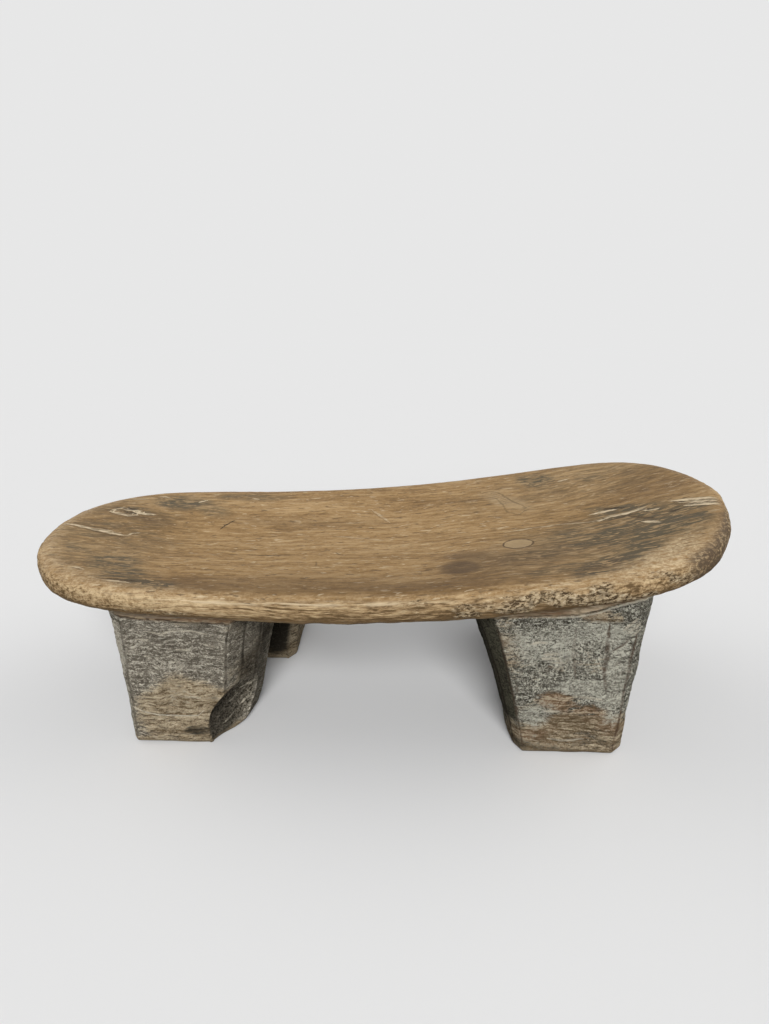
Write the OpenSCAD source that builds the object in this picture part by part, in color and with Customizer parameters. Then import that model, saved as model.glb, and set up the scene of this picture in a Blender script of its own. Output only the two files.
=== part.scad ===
// Low stool carved from one log: a long dished seat on four stout legs with cut facets.
// X runs along the seat, Y from the front to the back, and Z up from the floor.
// The origin is on the floor, under the middle of the seat.
// Each leg grows out of the seat's underside, so the pieces meet face to face there.

/* [Seat] */
// Length of the seat from end to end
seat_length = 500; // [440:5:560]
// Width of the seat halfway along it
seat_width = 209; // [196:1:230]
// Share by which the seat is wider at its right end, and narrower at its left end
seat_widening = 0.123; // [0.05:0.001:0.13]
// Height of the middle of the seat's edge above the floor, where the seat is lowest
edge_height = 116; // [90:1:150]
// Distance of the lowest place from the middle, towards the left
lowest_offset = 97; // [60:1:120]
// Rise of the edge from the lowest place to the left end
left_rise = 4; // [0:0.5:20]
// Rise of the edge from the lowest place to the right end
right_rise = 42; // [10:1:50]
// Half of the thickness of the seat's rounded edge
edge_half = 9.6; // [9:0.1:13]
// Width of the band over which the edge rounds over
edge_round = 10; // [6:1:10]
// Depth of the dish across the seat
dish_depth = 5; // [0:0.5:7]

/* [Left legs] */
// From the middle of the seat to the outer side of a left foot
left_foot_outer = 172; // [150:1:180]
// From the middle of the seat to the inner side of a left foot
left_foot_inner = 83; // [70:1:110]
// Outer side of a left leg where it meets the seat
left_head_outer = 180; // [160:1:182]
// Inner side of a left leg where it meets the seat
left_head_inner = 66; // [64:1:100]
// From the middle of the seat to the outer face of a left leg where it meets the seat
left_head_reach = 82; // [70:1:82]
// How late a left leg flares out towards the seat: 1 is a straight taper
left_flare = 1.6; // [1:0.1:2]

/* [Right legs] */
// From the middle of the seat to the outer side of a right foot
right_foot_outer = 177; // [150:1:180]
// From the middle of the seat to the inner side of a right foot
right_foot_inner = 100; // [80:1:120]
// Outer side of a right leg where it meets the seat
right_head_outer = 184; // [160:1:190]
// Inner side of a right leg where it meets the seat
right_head_inner = 65; // [60:1:100]
// From the middle of the seat to the outer face of a right leg where it meets the seat
right_head_reach = 95; // [80:1:95]
// How late a right leg flares out towards the seat
right_flare = 1.2; // [1:0.1:2]

/* [All legs] */
// From the middle of the seat to the outer face of a foot, across the seat
foot_reach = 89; // [80:1:94]
// Width of the gap between a front leg and a back leg
leg_gap = 38; // [20:1:60]
// Distance by which the back legs stand further right than the front ones
back_shift = 14; // [0:1:18]
// From the middle of the seat to the inner side of the worn front left foot
worn_foot_inner = 90; // [84:1:100]
// How soon that leg widens on its inner side: under 1 widens at once above the floor
worn_flare = 0.8; // [0.4:0.05:1]
// Height of the top of the hollow cut into the inner corner of the front left foot
notch_top = 59; // [54:1:62]
// Half of the depth of the round scoop that cuts it, front to back
notch_depth = 60; // [54:1:62]

/* [Hidden] */

LEFT = -1;
RIGHT = 1;
FRONT = -1;
BACK = 1;

// Exponents of the seat's outline and of its rise towards each end
outline_power = 7;
left_tip_power = 1.9;
right_tip_power = 1.67;
left_rise_power = 1.5;
right_rise_power = 2.1;

// Counts of the seat's mesh
ring_points = 80;
edge_steps = 8;
dish_steps = 5;
ridge_half = 4;

// Count of a leg's mesh, and the place and half length of the scoop that hollows the front left foot.
// The scoop leans back by this share of its height.
leg_steps = 5;
notch_middle = [-50, -108, 8];
notch_half_length = 68;
notch_lean = 0.4;
notch_facets = 72;

half_length = seat_length / 2;
half_width = seat_width / 2;
underside_drop = edge_half + 1;

// Where the underside runs straight, so that the legs meet a flat face
left_pad = [-0.82, -0.18] * half_length;
right_pad = [0.2, 0.9] * half_length;

// Shares along and across a leg of its facets' corners, from the outer end of its outer face.
// The first share runs from the outer to the inner side and the second from the outer face to the gap.
// Each pair of lists is for the foot and for the head.
soft_facets = [
    [
        [0, 0.13], [0.06, 0], [0.768, 0.015], [0.85, 0.2], [0.943, 0.38],
        [1, 0.68], [0.93, 1], [0.12, 1], [0.02, 0.9]
    ],
    [
        [0, 0.13], [0.09, 0], [0.768, 0.015], [0.86, 0.2], [0.943, 0.38],
        [1, 0.68], [0.93, 1], [0.12, 1], [0.02, 0.9]
    ]
];
square_facets = [
    [
        [0, 0.09], [0.085, 0], [0.9, 0], [0.97, 0.12], [1, 0.3],
        [1, 0.8], [0.93, 1], [0.12, 1], [0.02, 0.9]
    ],
    [
        [0, 0.09], [0.06, 0], [0.865, 0], [0.96, 0.15], [1, 0.35],
        [1, 0.8], [0.93, 1], [0.12, 1], [0.02, 0.9]
    ]
];
pared_facets = [
    [
        [0, 0.11], [0.1, 0], [0.9, 0], [0.96, 0.09], [1, 0.18],
        [1, 0.88], [0.94, 1], [0.12, 1], [0.02, 0.9]
    ],
    [
        [0, 0.11], [0.1, 0], [0.9, 0], [0.96, 0.09], [1, 0.18],
        [1, 0.72], [0.6, 1], [0.12, 1], [0.02, 0.9]
    ]
];

function mix(a, b, share) = a + (b - a) * share;
function reversed(list) = [for (i = [len(list) - 1 : -1 : 0]) list[i]];

// Height of the middle of the seat's edge at a place along it
function edge_z(x) =
    x < -lowest_offset
        ? edge_height + left_rise
            * pow((-lowest_offset - x) / (half_length - lowest_offset), left_rise_power)
        : edge_height + right_rise
            * pow((x + lowest_offset) / (half_length + lowest_offset), right_rise_power);

// Height of the underside, which is straight along both pads
function underside_z(x) = lookup(x, [
    for (key = concat([-half_length], left_pad, [0], right_pad, [half_length]))
        [key, edge_z(key) - underside_drop]
]);

// A point of the outline, drawn in from the edge by a distance
function outline_point(angle, inset) =
    let (
        along = cos(angle),
        tip_power = along < 0 ? left_tip_power : right_tip_power,
        taper = pow(max(0, 1 - pow(abs(along), outline_power)), 1 / tip_power),
        across = (half_width - inset) * (1 + seat_widening * along) * taper
    )
    [(half_length - inset) * along, sign(sin(angle)) * across];

// Rings round the edge, from the underside at -90 degrees to the top at 90 degrees
function edge_ring_point(angle, turn) =
    let (
        flat_point = outline_point(angle, edge_round * (1 - cos(turn))),
        x = flat_point[0],
        height = turn < 0 ? edge_z(x) - underside_z(x) : edge_half
    )
    [x, flat_point[1], edge_z(x) + height * sin(turn)];

// Rings over the top, which dip smoothly from the edge to the middle
function dish_ring_point(angle, share) =
    let (
        flat_point = outline_point(angle, mix(edge_round, half_width - ridge_half, share)),
        dip = dish_depth * share * share * (3 - 2 * share)
    )
    [flat_point[0], flat_point[1], edge_z(flat_point[0]) + edge_half - dip];

// Walls between rings of the same count, stacked from the bottom up and listed anticlockwise
function wall_faces(rings, count) = [
    for (k = [0 : rings - 2], j = [0 : count - 1])
        let (next = (j + 1) % count, low = k * count, high = low + count)
        each [[low + j, high + j, high + next], [low + j, high + next, low + next]]
];

// A cap of strips across a ring that is alike on both sides of the X axis
function strip_faces(start, count) =
    let (tip = count / 2)
    concat(
        [[start + 1, start, start + count - 1]],
        [
            for (j = [1 : tip - 2])
                let (a = start + j, b = start + count - j)
                each [[a + 1, a, b], [a + 1, b, b - 1]]
        ],
        [[start + tip, start + tip - 1, start + tip + 1]]
    );

module seat() {
    angles = [for (j = [0 : ring_points - 1]) 360 * j / ring_points];
    points = concat(
        [for (k = [0 : edge_steps], a = angles) edge_ring_point(a, 180 * k / edge_steps - 90)],
        [for (k = [1 : dish_steps], a = angles) dish_ring_point(a, k / dish_steps)]
    );
    rings = edge_steps + dish_steps + 1;
    underside = [for (face = strip_faces(0, ring_points)) reversed(face)];
    top = strip_faces((rings - 1) * ring_points, ring_points);
    color("#8b6b47")
        polyhedron(points, concat(wall_faces(rings, ring_points), underside, top));
}

// Section of a leg at a share of its height, as points on the leg's faceted outline
function leg_section(side, row, facets, foot_inner, inner_flare, height_share) =
    let (
        foot_outer = side == LEFT ? left_foot_outer : right_foot_outer,
        head_outer = side == LEFT ? left_head_outer : right_head_outer,
        head_inner = side == LEFT ? left_head_inner : right_head_inner,
        head_reach = side == LEFT ? left_head_reach : right_head_reach,
        shift = row == BACK ? back_shift : 0,
        flare = pow(height_share, side == LEFT ? left_flare : right_flare),
        outer = mix(foot_outer, head_outer, flare),
        inner = mix(foot_inner, head_inner, pow(height_share, inner_flare)),
        reach = mix(foot_reach, head_reach, flare)
    )
    [
        for (i = [0 : len(facets[0]) - 1])
            let (
                facet = mix(facets[0][i], facets[1][i], height_share),
                x = side * mix(outer, inner, facet[0]) + shift,
                y = row * mix(reach, leg_gap / 2, facet[1])
            )
            [x, y, underside_z(x) * height_share]
    ];

module leg(side, row, facets, foot_inner, inner_flare) {
    count = len(facets[0]);
    levels = [
        for (k = [0 : leg_steps])
            leg_section(side, row, facets, foot_inner, inner_flare, k / leg_steps)
    ];
    turned = side * row > 0 ? levels : [for (level = levels) reversed(level)];
    points = [for (level = turned) each level];
    sole = [for (j = [0 : count - 1]) j];
    head = [for (j = [count - 1 : -1 : 0]) leg_steps * count + j];
    polyhedron(points, concat(wall_faces(leg_steps + 1, count), [sole, head]));
}

// Round scoop, leaning towards the back, whose side hollows the inner corner of a foot
module scoop() {
    lean = [[1, 0, 0, 0], [0, 1, notch_lean, 0], [0, 0, 1, 0], [0, 0, 0, 1]];
    translate(notch_middle)
        multmatrix(lean)
            scale([notch_half_length, notch_depth, notch_top - notch_middle[2]])
                sphere(r = 1, $fn = notch_facets);
}

module leg_front_left() {
    color("#7d6f5b")
        difference() {
            leg(LEFT, FRONT, soft_facets, worn_foot_inner, worn_flare);
            scoop();
        }
}

module leg_front_right() {
    color("#8b8476") leg(RIGHT, FRONT, square_facets, right_foot_inner, right_flare);
}

module leg_back_left() {
    color("#6f6554") leg(LEFT, BACK, pared_facets, left_foot_inner, left_flare);
}

module leg_back_right() {
    color("#7b7263") leg(RIGHT, BACK, square_facets, right_foot_inner, right_flare);
}

seat();
leg_front_left();
leg_front_right();
leg_back_left();
leg_back_right();
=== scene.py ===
"""Looks of a low stool carved from one log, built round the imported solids.

The seat and the four legs are closed skins worked out with numpy from the sizes of the part's
source. Tool marks, pits and worn corners are moved into each skin, and what is finer than the
skin is bump in its wood. All lengths are metres, X runs along the seat and Z up.
"""

import logging
import math
from collections.abc import Sequence
from dataclasses import dataclass, field
from enum import Enum
from functools import reduce

import bpy
import numpy as np
from mathutils import Matrix, Vector


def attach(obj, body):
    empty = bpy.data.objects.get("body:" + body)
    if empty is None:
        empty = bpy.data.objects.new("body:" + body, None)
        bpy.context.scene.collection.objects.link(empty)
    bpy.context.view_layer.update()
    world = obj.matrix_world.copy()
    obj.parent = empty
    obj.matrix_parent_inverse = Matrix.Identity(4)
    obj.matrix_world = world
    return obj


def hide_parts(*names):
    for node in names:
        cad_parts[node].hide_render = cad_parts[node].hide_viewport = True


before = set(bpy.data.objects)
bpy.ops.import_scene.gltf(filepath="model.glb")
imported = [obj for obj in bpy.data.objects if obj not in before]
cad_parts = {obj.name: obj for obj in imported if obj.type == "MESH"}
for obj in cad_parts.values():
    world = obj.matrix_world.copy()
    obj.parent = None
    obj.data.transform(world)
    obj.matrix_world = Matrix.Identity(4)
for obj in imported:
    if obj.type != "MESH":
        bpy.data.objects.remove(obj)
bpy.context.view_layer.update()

Array = np.ndarray
Colour = tuple[float, float, float]
Triple = tuple[float, float, float]
Pair = tuple[float, float]
Pairs = tuple[Pair, ...]
Socket = bpy.types.NodeSocket

MM = 0.001

# Samples along a path before it is rounded
PATH_STEPS = 1200

# Distance from a drawn line, in millimetres, past which its fields stay the same
FAR = 9.0

# Half height, in millimetres, of a mark that goes right through
ENDLESS = 1.0e6

log = logging.getLogger("stool")


class Side(Enum):
    """End of the seat that a leg stands under."""

    LEFT = -1
    RIGHT = 1


class Row(Enum):
    """Front or back pair that a leg belongs to."""

    FRONT = -1
    BACK = 1


def blend(low: Array, high: Array, share: Array) -> Array:
    """Straight mix of two values: low at share 0 and high at share 1."""
    return low + (high - low) * share


def ease(value: Array, low: float, high: float) -> Array:
    """Smooth step, s*s*(3-2s), from 0 at low to 1 at high, which may be below low."""
    share = np.clip((value - low) / (high - low), 0.0, 1.0)
    return share * share * (3.0 - 2.0 * share)


def add_object(name: str, data: bpy.types.ID) -> bpy.types.Object:
    """Adds an object to the scene.

    Args:
        name: Name of the object.
        data: Its mesh, light or camera.

    Returns:
        The object, at the origin.
    """
    made = bpy.data.objects.new(name, data)
    bpy.context.scene.collection.objects.link(made)
    return made


@dataclass(frozen=True)
class Grainfield:
    """Smooth random field: values on a repeating lattice, joined by fifth-degree easing."""

    seed: int
    cells: int = 48
    octave_shift: float = 7.31
    gain: float = 1.6

    def sample(self, points: Array, cell: Triple, octaves: int = 1) -> Array:
        """Sums octaves of the field, each at half the cell size and half the strength.

        Args:
            points: Places, as rows of x, y and z.
            cell: Lattice cell along x, y and z.
            octaves: How many octaves to add.

        Returns:
            One value for each place, roughly from -1 to 1.
        """
        values = np.random.default_rng(self.seed).uniform(-1.0, 1.0, (self.cells,) * 3)
        total = np.zeros(points.shape[:-1])
        strength, weight = 1.0, 0.0
        for octave in range(octaves):
            scaled = points / np.array(cell) * 2.0**octave + self.octave_shift * octave
            corner = np.floor(scaled).astype(int)
            share = scaled - corner
            share = share**3 * (share * (share * 6.0 - 15.0) + 10.0)
            for step in np.ndindex(2, 2, 2):
                index = (corner + step) % self.cells
                part = np.where(np.array(step) == 1, share, 1.0 - share).prod(axis=-1)
                total += strength * part * values[index[..., 0], index[..., 1], index[..., 2]]
            weight += strength
            strength *= 0.5
        return total / weight * self.gain


class Cap(Enum):
    """How the last ring at an end of a skin is closed."""

    STRIP = "strip"
    FAN = "fan"


@dataclass
class Skin:
    """Closed surface of stacked rings that all have the same count of points.

    rings has the shape (rings, points, 3), from the bottom up and anticlockwise from above.
    """

    rings: Array
    cap: Cap
    fields: dict[str, Array] = field(default_factory=dict)

    def normals(self) -> Array:
        """Unit cross product of the step along a ring and the step to the next ring.

        Returns:
            One normal for each point.
        """
        along = np.roll(self.rings, -1, axis=1) - np.roll(self.rings, 1, axis=1)
        across = np.gradient(self.rings, axis=0)
        normal = np.cross(along, across)
        return normal / np.maximum(np.linalg.norm(normal, axis=2, keepdims=True), 1e-12)

    def move(self, distance: Array) -> None:
        """Moves every point along its normal by its own distance."""
        self.rings = self.rings + self.normals() * distance[..., None]

    def wall_faces(self) -> Array:
        """Quads between neighbouring rings.

        Returns:
            The four point numbers of each quad.
        """
        count, around = self.rings.shape[:2]
        low = (np.arange(count - 1)[:, None] * around + np.arange(around)).ravel()
        high = low + around
        turn = (np.arange(count - 1)[:, None] * around + (np.arange(around) + 1) % around).ravel()
        return np.stack([low, turn, turn + around, high], axis=1)

    def cap_faces(self, start: int, upward: bool) -> tuple[list[list[int]], list[list[float]]]:
        """Faces that close one end.

        A strip joins each point to the one across from it. A fan joins the ring to its middle.

        Args:
            start: Index of the ring's first point.
            upward: Whether the cap faces up.

        Returns:
            The faces, and the points that they add.
        """
        around = self.rings.shape[1]
        step = np.arange(around)
        if self.cap is Cap.STRIP:
            half = around // 2
            near = start + np.arange(1, half - 1)
            far = start + around - np.arange(1, half - 1)
            faces = np.stack([near, near + 1, far - 1, far], axis=1).tolist()
            faces.append([start, start + 1, start + around - 1])
            faces.append([start + half - 1, start + half, start + half + 1])
            extra = []
        else:
            middle = self.rings.shape[0] * around + (1 if upward else 0)
            ring = self.rings[-1 if upward else 0]
            extra = [ring.mean(axis=0).tolist()]
            faces = np.stack(
                [start + step, start + (step + 1) % around, np.full(around, middle)], axis=1
            ).tolist()
        return ([face if upward else face[::-1] for face in faces], extra)

    def build(self, name: str, material: bpy.types.Material) -> bpy.types.Object:
        """Makes the mesh object, smooth shaded, with its fields as point attributes.

        Args:
            name: Name of the piece.
            material: Its wood.

        Returns:
            The object, at the origin.
        """
        count, around = self.rings.shape[:2]
        bottom, below = self.cap_faces(0, False)
        top, above = self.cap_faces((count - 1) * around, True)
        points = self.rings.reshape(-1, 3).tolist() + below + above
        mesh = bpy.data.meshes.new(name)
        mesh.from_pydata(points, [], self.wall_faces().tolist() + bottom + top)
        mesh.polygons.foreach_set("use_smooth", np.ones(len(mesh.polygons), bool))
        spare = np.zeros(len(below) + len(above))
        for label, values in self.fields.items():
            layer = mesh.attributes.new(label, "FLOAT", "POINT")
            layer.data.foreach_set("value", np.concatenate([values.ravel(), spare]))
        mesh.materials.append(material)
        mesh.update()
        return add_object(name, mesh)


def run_along(path: Array) -> Array:
    """Way along a path to each of its points, which are rows."""
    return np.r_[0.0, np.cumsum(np.linalg.norm(np.diff(path, axis=0), axis=1))]


def rounded_path(corners: Array, count: int, softness: float) -> Array:
    """Even points on an open path of straight lines whose corners are rounded.

    The path is sampled finely, averaged with a bell-shaped weight, and sampled evenly again.

    Args:
        corners: The path's corners, as rows.
        count: How many points to return.
        softness: Standard width of the averaging, as a length.

    Returns:
        The points, as rows, with both ends kept.
    """
    lengths = run_along(corners)
    fine = np.linspace(0.0, lengths[-1], PATH_STEPS)
    path = np.stack([np.interp(fine, lengths, axis) for axis in corners.T], axis=1)
    gap = fine[:, None] - fine[None, :]
    weight = np.exp(-0.5 * (gap / softness) ** 2)
    smooth = weight @ path / weight.sum(axis=1, keepdims=True)
    edge = ease(np.minimum(fine, fine[-1] - fine), 0.0, 3.0 * softness)[:, None]
    smooth = blend(path, smooth, edge)
    run = run_along(smooth)
    even = np.linspace(0.0, run[-1], count)
    return np.stack([np.interp(even, run, axis) for axis in smooth.T], axis=1)


# Section of the seat's edge from its underside to its top, as inset and rise in millimetres
EDGE_CORNERS = (
    (10.0, -9.6), (4.2, -9.0), (0.9, -5.6), (0.0, -1.0),
    (0.3, 3.2), (1.5, 6.2), (5.6, 8.5), (10.0, 9.6),
)


@dataclass(frozen=True)
class SeatForm:
    """Form of the seat: a long outline, a rise towards both ends and a shallow dish."""

    half_length: float = 0.25
    half_width: float = 0.1045
    widening: float = 0.123
    edge_height: float = 0.116
    lowest_offset: float = 0.097
    left_rise: float = 0.004
    right_rise: float = 0.042
    edge_half: float = 0.0096
    edge_round: float = 0.010
    dish_depth: float = 0.005
    outline_power: float = 7.0
    tip_powers: Pair = (1.9, 1.67)
    rise_powers: Pair = (1.5, 2.1)
    pads: tuple[float, ...] = (-1.0, -0.82, -0.18, 0.0, 0.2, 0.9, 1.0)
    spine_half: float = 0.0005
    around: int = 1160
    below_rings: int = 14
    edge_rings: int = 34
    above_rings: int = 35
    fine_turns: int = 20001
    even_inset: float = 0.02

    def edge_z(self, x: Array) -> Array:
        """Height of the middle of the edge: a power of the distance from the lowest place.

        Args:
            x: Places along the seat.

        Returns:
            The heights.
        """
        low, half = self.lowest_offset, self.half_length
        left = np.clip((-low - x) / (half - low), 0, None)
        right = np.clip((x + low) / (half + low), 0, None)
        rise = self.left_rise * left ** self.rise_powers[0]
        return self.edge_height + rise + self.right_rise * right ** self.rise_powers[1]

    def underside_z(self, x: Array) -> Array:
        """Height of the underside, which runs straight between the pads' ends."""
        keys = np.array(self.pads) * self.half_length
        return np.interp(x, keys, self.edge_z(keys) - self.edge_half - MM)

    def outline(self, angle: Array, inset: Array) -> tuple[Array, Array]:
        """Outline drawn in by a distance: a long superellipse, wider towards the right.

        Args:
            angle: Turn round the seat's middle.
            inset: Distance in from the edge.

        Returns:
            The x and y of each point.
        """
        along = np.cos(angle)
        power = 1.0 / np.where(along < 0, *self.tip_powers)
        taper = np.clip(1.0 - np.abs(along) ** self.outline_power, 0.0, None) ** power
        across = (self.half_width - inset) * (1.0 + self.widening * along) * taper
        return (self.half_length - inset) * along, np.sign(np.sin(angle)) * across

    def angles(self) -> Array:
        """Turns that divide the outline into steps of even length, alike on both sides.

        Returns:
            The turns, from 0 to a full turn.
        """
        fine = np.linspace(0.0, math.pi, self.fine_turns)
        run = run_along(np.stack(self.outline(fine, np.array(self.even_inset)), axis=1))
        half = np.interp(np.linspace(0.0, run[-1], self.around // 2 + 1), run, fine)
        return np.r_[half, 2.0 * math.pi - half[-2:0:-1]]

    def profile(self) -> tuple[Array, Array]:
        """Section from the middle of the underside, round the edge, to the middle of the top.

        Returns:
            The inset from the edge, and the rise: -1 at the underside, 1 at the crest of the edge
            and from 1 to 2 over the dish.
        """
        far = self.half_width - self.spine_half
        edge = rounded_path(np.array(EDGE_CORNERS) * MM, self.edge_rings, 0.6 * MM)
        below = np.linspace(far, self.edge_round, self.below_rings + 1)[:-1]
        above = np.linspace(self.edge_round, far, self.above_rings + 1)[1:]
        inset = np.r_[below, edge[:, 0], above]
        share = (above - self.edge_round) / (far - self.edge_round)
        rise = np.r_[np.full(len(below), -1.0), edge[:, 1] / self.edge_half, 1.0 + share]
        return inset, rise

    def skin(self) -> tuple[Skin, Array, Array]:
        """Rings of the seat before any wear.

        Returns:
            The skin, and the inset and rise of each point.
        """
        inset, rise = (np.repeat(v[:, None], self.around, axis=1) for v in self.profile())
        x, y = self.outline(self.angles()[None, :], inset)
        middle = self.edge_z(x)
        dished = middle + self.edge_half - self.dish_depth * ease(rise, 1.0, 2.0)
        low = middle + (middle - self.underside_z(x)) * rise
        z = np.where(rise < 0, low, middle + self.edge_half * rise)
        z = np.where(rise > 1.0, dished, z)
        return Skin(np.stack([x, y, z], axis=2), Cap.STRIP), inset, rise


@dataclass(frozen=True)
class LegForm:
    """Form of one leg: a faceted section that widens from the foot to the seat."""

    side: Side
    row: Row
    foot: Pair
    head: Pair
    head_reach: float
    flares: Pair
    facets: tuple[Pairs, Pairs]
    shoulder: Pairs
    seed: int
    foot_reach: float = 0.089
    gap: float = 0.038
    back_shift: float = 0.014
    around: int = 470
    ring_step: float = 0.72 * MM
    foot_round: float = 3.2 * MM
    sole_rings: int = 12
    sole_middle: float = 0.03
    round_rings: int = 6
    overlap: Pair = (1.02, 1.03)
    height_at: float = 0.12
    soften_reach: int = 5
    hollow_middle: Triple | None = None
    hollow_half: Triple = (0.068, 0.060, 0.051)
    hollow_lean: float = 0.4

    def corners(self, share: Array) -> Array:
        """Corners of the section at shares of the height.

        The outer side and the reach follow the share to the first flare power, and the inner
        side follows it to the second. The facets turn evenly from the foot's to the head's.

        Args:
            share: Shares of the height.

        Returns:
            Corner places in plan, with the shape (shares, corners, 2), anticlockwise from above.
        """
        risen = np.clip(share, 0.0, None)[:, None]
        flare, inner_flare = (risen**power for power in self.flares)
        outer = blend(self.foot[0], self.head[0], flare)
        inner = blend(self.foot[1], self.head[1], inner_flare)
        reach = blend(self.foot_reach, self.head_reach, flare)
        foot, head = np.array(self.facets)
        u, v = np.moveaxis(blend(foot, head, risen[..., None]), 2, 0)
        shift = self.back_shift if self.row is Row.BACK else 0.0
        x = self.side.value * blend(outer, inner, u) + shift
        y = self.row.value * blend(reach, self.gap / 2.0, v)
        plan = np.stack([x, y], axis=2)
        return plan if self.side.value * self.row.value > 0 else plan[:, ::-1]

    def corner_runs(self) -> Array:
        """Way round the leg, halfway up, to each corner of its facets and back to the first."""
        middle = self.corners(np.array([0.5]))[0]
        return run_along(np.r_[middle, middle[:1]])

    def runs(self) -> Array:
        """Way round the leg to each point of a ring, halfway up."""
        return np.linspace(0.0, self.corner_runs()[-1], self.around, endpoint=False)

    def sections(self, share: Array, softness: float = 1.5) -> Array:
        """Sections sampled evenly round, with softened corners.

        Args:
            share: Shares of the height.
            softness: Standard width of the softening, in points.

        Returns:
            Points in plan, with the shape (shares, points, 2).
        """
        plan = self.corners(share)
        run = self.corner_runs()
        lengths = np.diff(run)
        place = self.runs()
        edge = np.clip(np.searchsorted(run, place, side="right") - 1, 0, len(lengths) - 1)
        part = ((place - run[edge]) / lengths[edge])[None, :, None]
        points = blend(plan[:, edge], plan[:, (edge + 1) % len(lengths)], part)
        offsets = np.arange(-self.soften_reach, self.soften_reach + 1)
        weights = np.exp(-0.5 * (offsets / softness) ** 2)
        rolled = [w * np.roll(points, k, axis=1) for k, w in zip(offsets, weights)]
        return sum(rolled) / weights.sum()

    def hollowed(self, plan: Array, level: Array) -> tuple[Array, Array]:
        """Pushes points level out of the foot's hollow, the side of a leaning ellipsoid.

        At each height the hollow is an ellipse, whose size follows a circle over the height and
        whose middle moves back by the lean times the height.

        Args:
            plan: Points in plan, with the shape (rings, points, 2).
            level: Height of each point.

        Returns:
            The points, and how far each was inside, from 0 to 1.
        """
        if self.hollow_middle is None:
            return plan, np.zeros(level.shape)
        middle, half = np.array(self.hollow_middle), np.array(self.hollow_half)
        rise = level - middle[2]
        back = middle[1] + self.hollow_lean * rise
        centre = np.stack([np.full_like(rise, middle[0]), back], axis=2)
        reach = np.maximum(np.linalg.norm((plan - centre) / half[:2], axis=2), 1e-6)
        room = np.sqrt(np.clip(1.0 - (rise / half[2]) ** 2, 0.0, None))
        pushed = centre + (plan - centre) * (room / reach)[..., None]
        inside = (reach < room)[..., None]
        return np.where(inside, pushed, plan), ease(room - reach, 0.01, 0.06)

    def skin(self, seat: SeatForm) -> tuple[Skin, Array]:
        """Rings of the leg, from the middle of its sole to inside the seat.

        The foot's lower corner is a quarter circle whose radius wanders round the foot.

        Args:
            seat: The seat, whose underside ends the leg.

        Returns:
            The skin, and how far each point is inside the hollow, from 0 to 1.
        """
        height = seat.underside_z(np.array([self.side.value * self.height_at]))[0]
        upright = 0.5 * math.pi
        rounds = np.linspace(0.0, upright, self.round_rings + 1)[1:]
        walls = np.linspace(self.foot_round, height, int(height / self.ring_step))[1:]
        low = np.r_[(1.0 - np.cos(rounds)) * self.foot_round, walls] / height
        share = np.r_[np.zeros(self.sole_rings), low, self.overlap]
        above = len(share) - self.sole_rings
        shrink = np.r_[np.linspace(self.sole_middle, 1.0, self.sole_rings), np.ones(above)]
        straight = np.full(above - self.round_rings, upright)
        turn = np.r_[np.zeros(self.sole_rings), rounds, straight]
        plan = self.sections(share)
        plan, cut = self.hollowed(plan, seat.underside_z(plan[..., 0]) * share[:, None])
        along = np.roll(plan, -1, axis=1) - np.roll(plan, 1, axis=1)
        outward = np.stack([along[..., 1], -along[..., 0]], axis=2)
        outward /= np.linalg.norm(outward, axis=2, keepdims=True)
        foot = np.concatenate([plan[self.sole_rings], np.zeros((self.around, 1))], axis=1)
        wander = Grainfield(self.seed + 5).sample(foot, (0.014, 0.014, 1.0), 2)
        radius = self.foot_round * (0.95 + 0.35 * wander)
        plan = plan - outward * ((1.0 - np.sin(turn))[:, None] * radius)[..., None]
        middle = plan.mean(axis=1, keepdims=True)
        plan = blend(middle, plan, shrink[:, None, None])
        z = seat.underside_z(plan[..., 0]) * share[:, None]
        rings = np.concatenate([plan, z[..., None]], axis=2)
        return Skin(rings, Cap.FAN), cut


@dataclass(frozen=True)
class Mark:
    """Soft oval stain, seen from above, in millimetres."""

    middle: Pair
    half: Pair
    angle: float = 0.0
    strength: float = 1.0
    softness: float = 0.5

    def reach(self, x: Array, y: Array) -> Array:
        """Distance from the middle in half widths, so that 1 is the outline.

        Args:
            x: Places along the seat.
            y: Places across the seat.

        Returns:
            The distances.
        """
        turn = math.radians(self.angle)
        east, north = x / MM - self.middle[0], y / MM - self.middle[1]
        along = (east * math.cos(turn) + north * math.sin(turn)) / self.half[0]
        across = (north * math.cos(turn) - east * math.sin(turn)) / self.half[1]
        return np.hypot(along, across)


@dataclass(frozen=True)
class Line:
    """Bent line drawn on a surface, such as a scratch, in millimetres.

    Its points lie on any two coordinates of the surface, such as along and across the seat.
    """

    points: Pairs
    half_width: float
    strength: float = 1.0


def stain_field(marks: Sequence[Mark], x: Array, y: Array) -> Array:
    """Strongest of several stains at each place, from 0 to 1."""
    shown = [m.strength * ease(m.reach(x, y), 1.0 + m.softness, 1.0 - m.softness) for m in marks]
    return np.maximum.reduce(shown)


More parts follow.
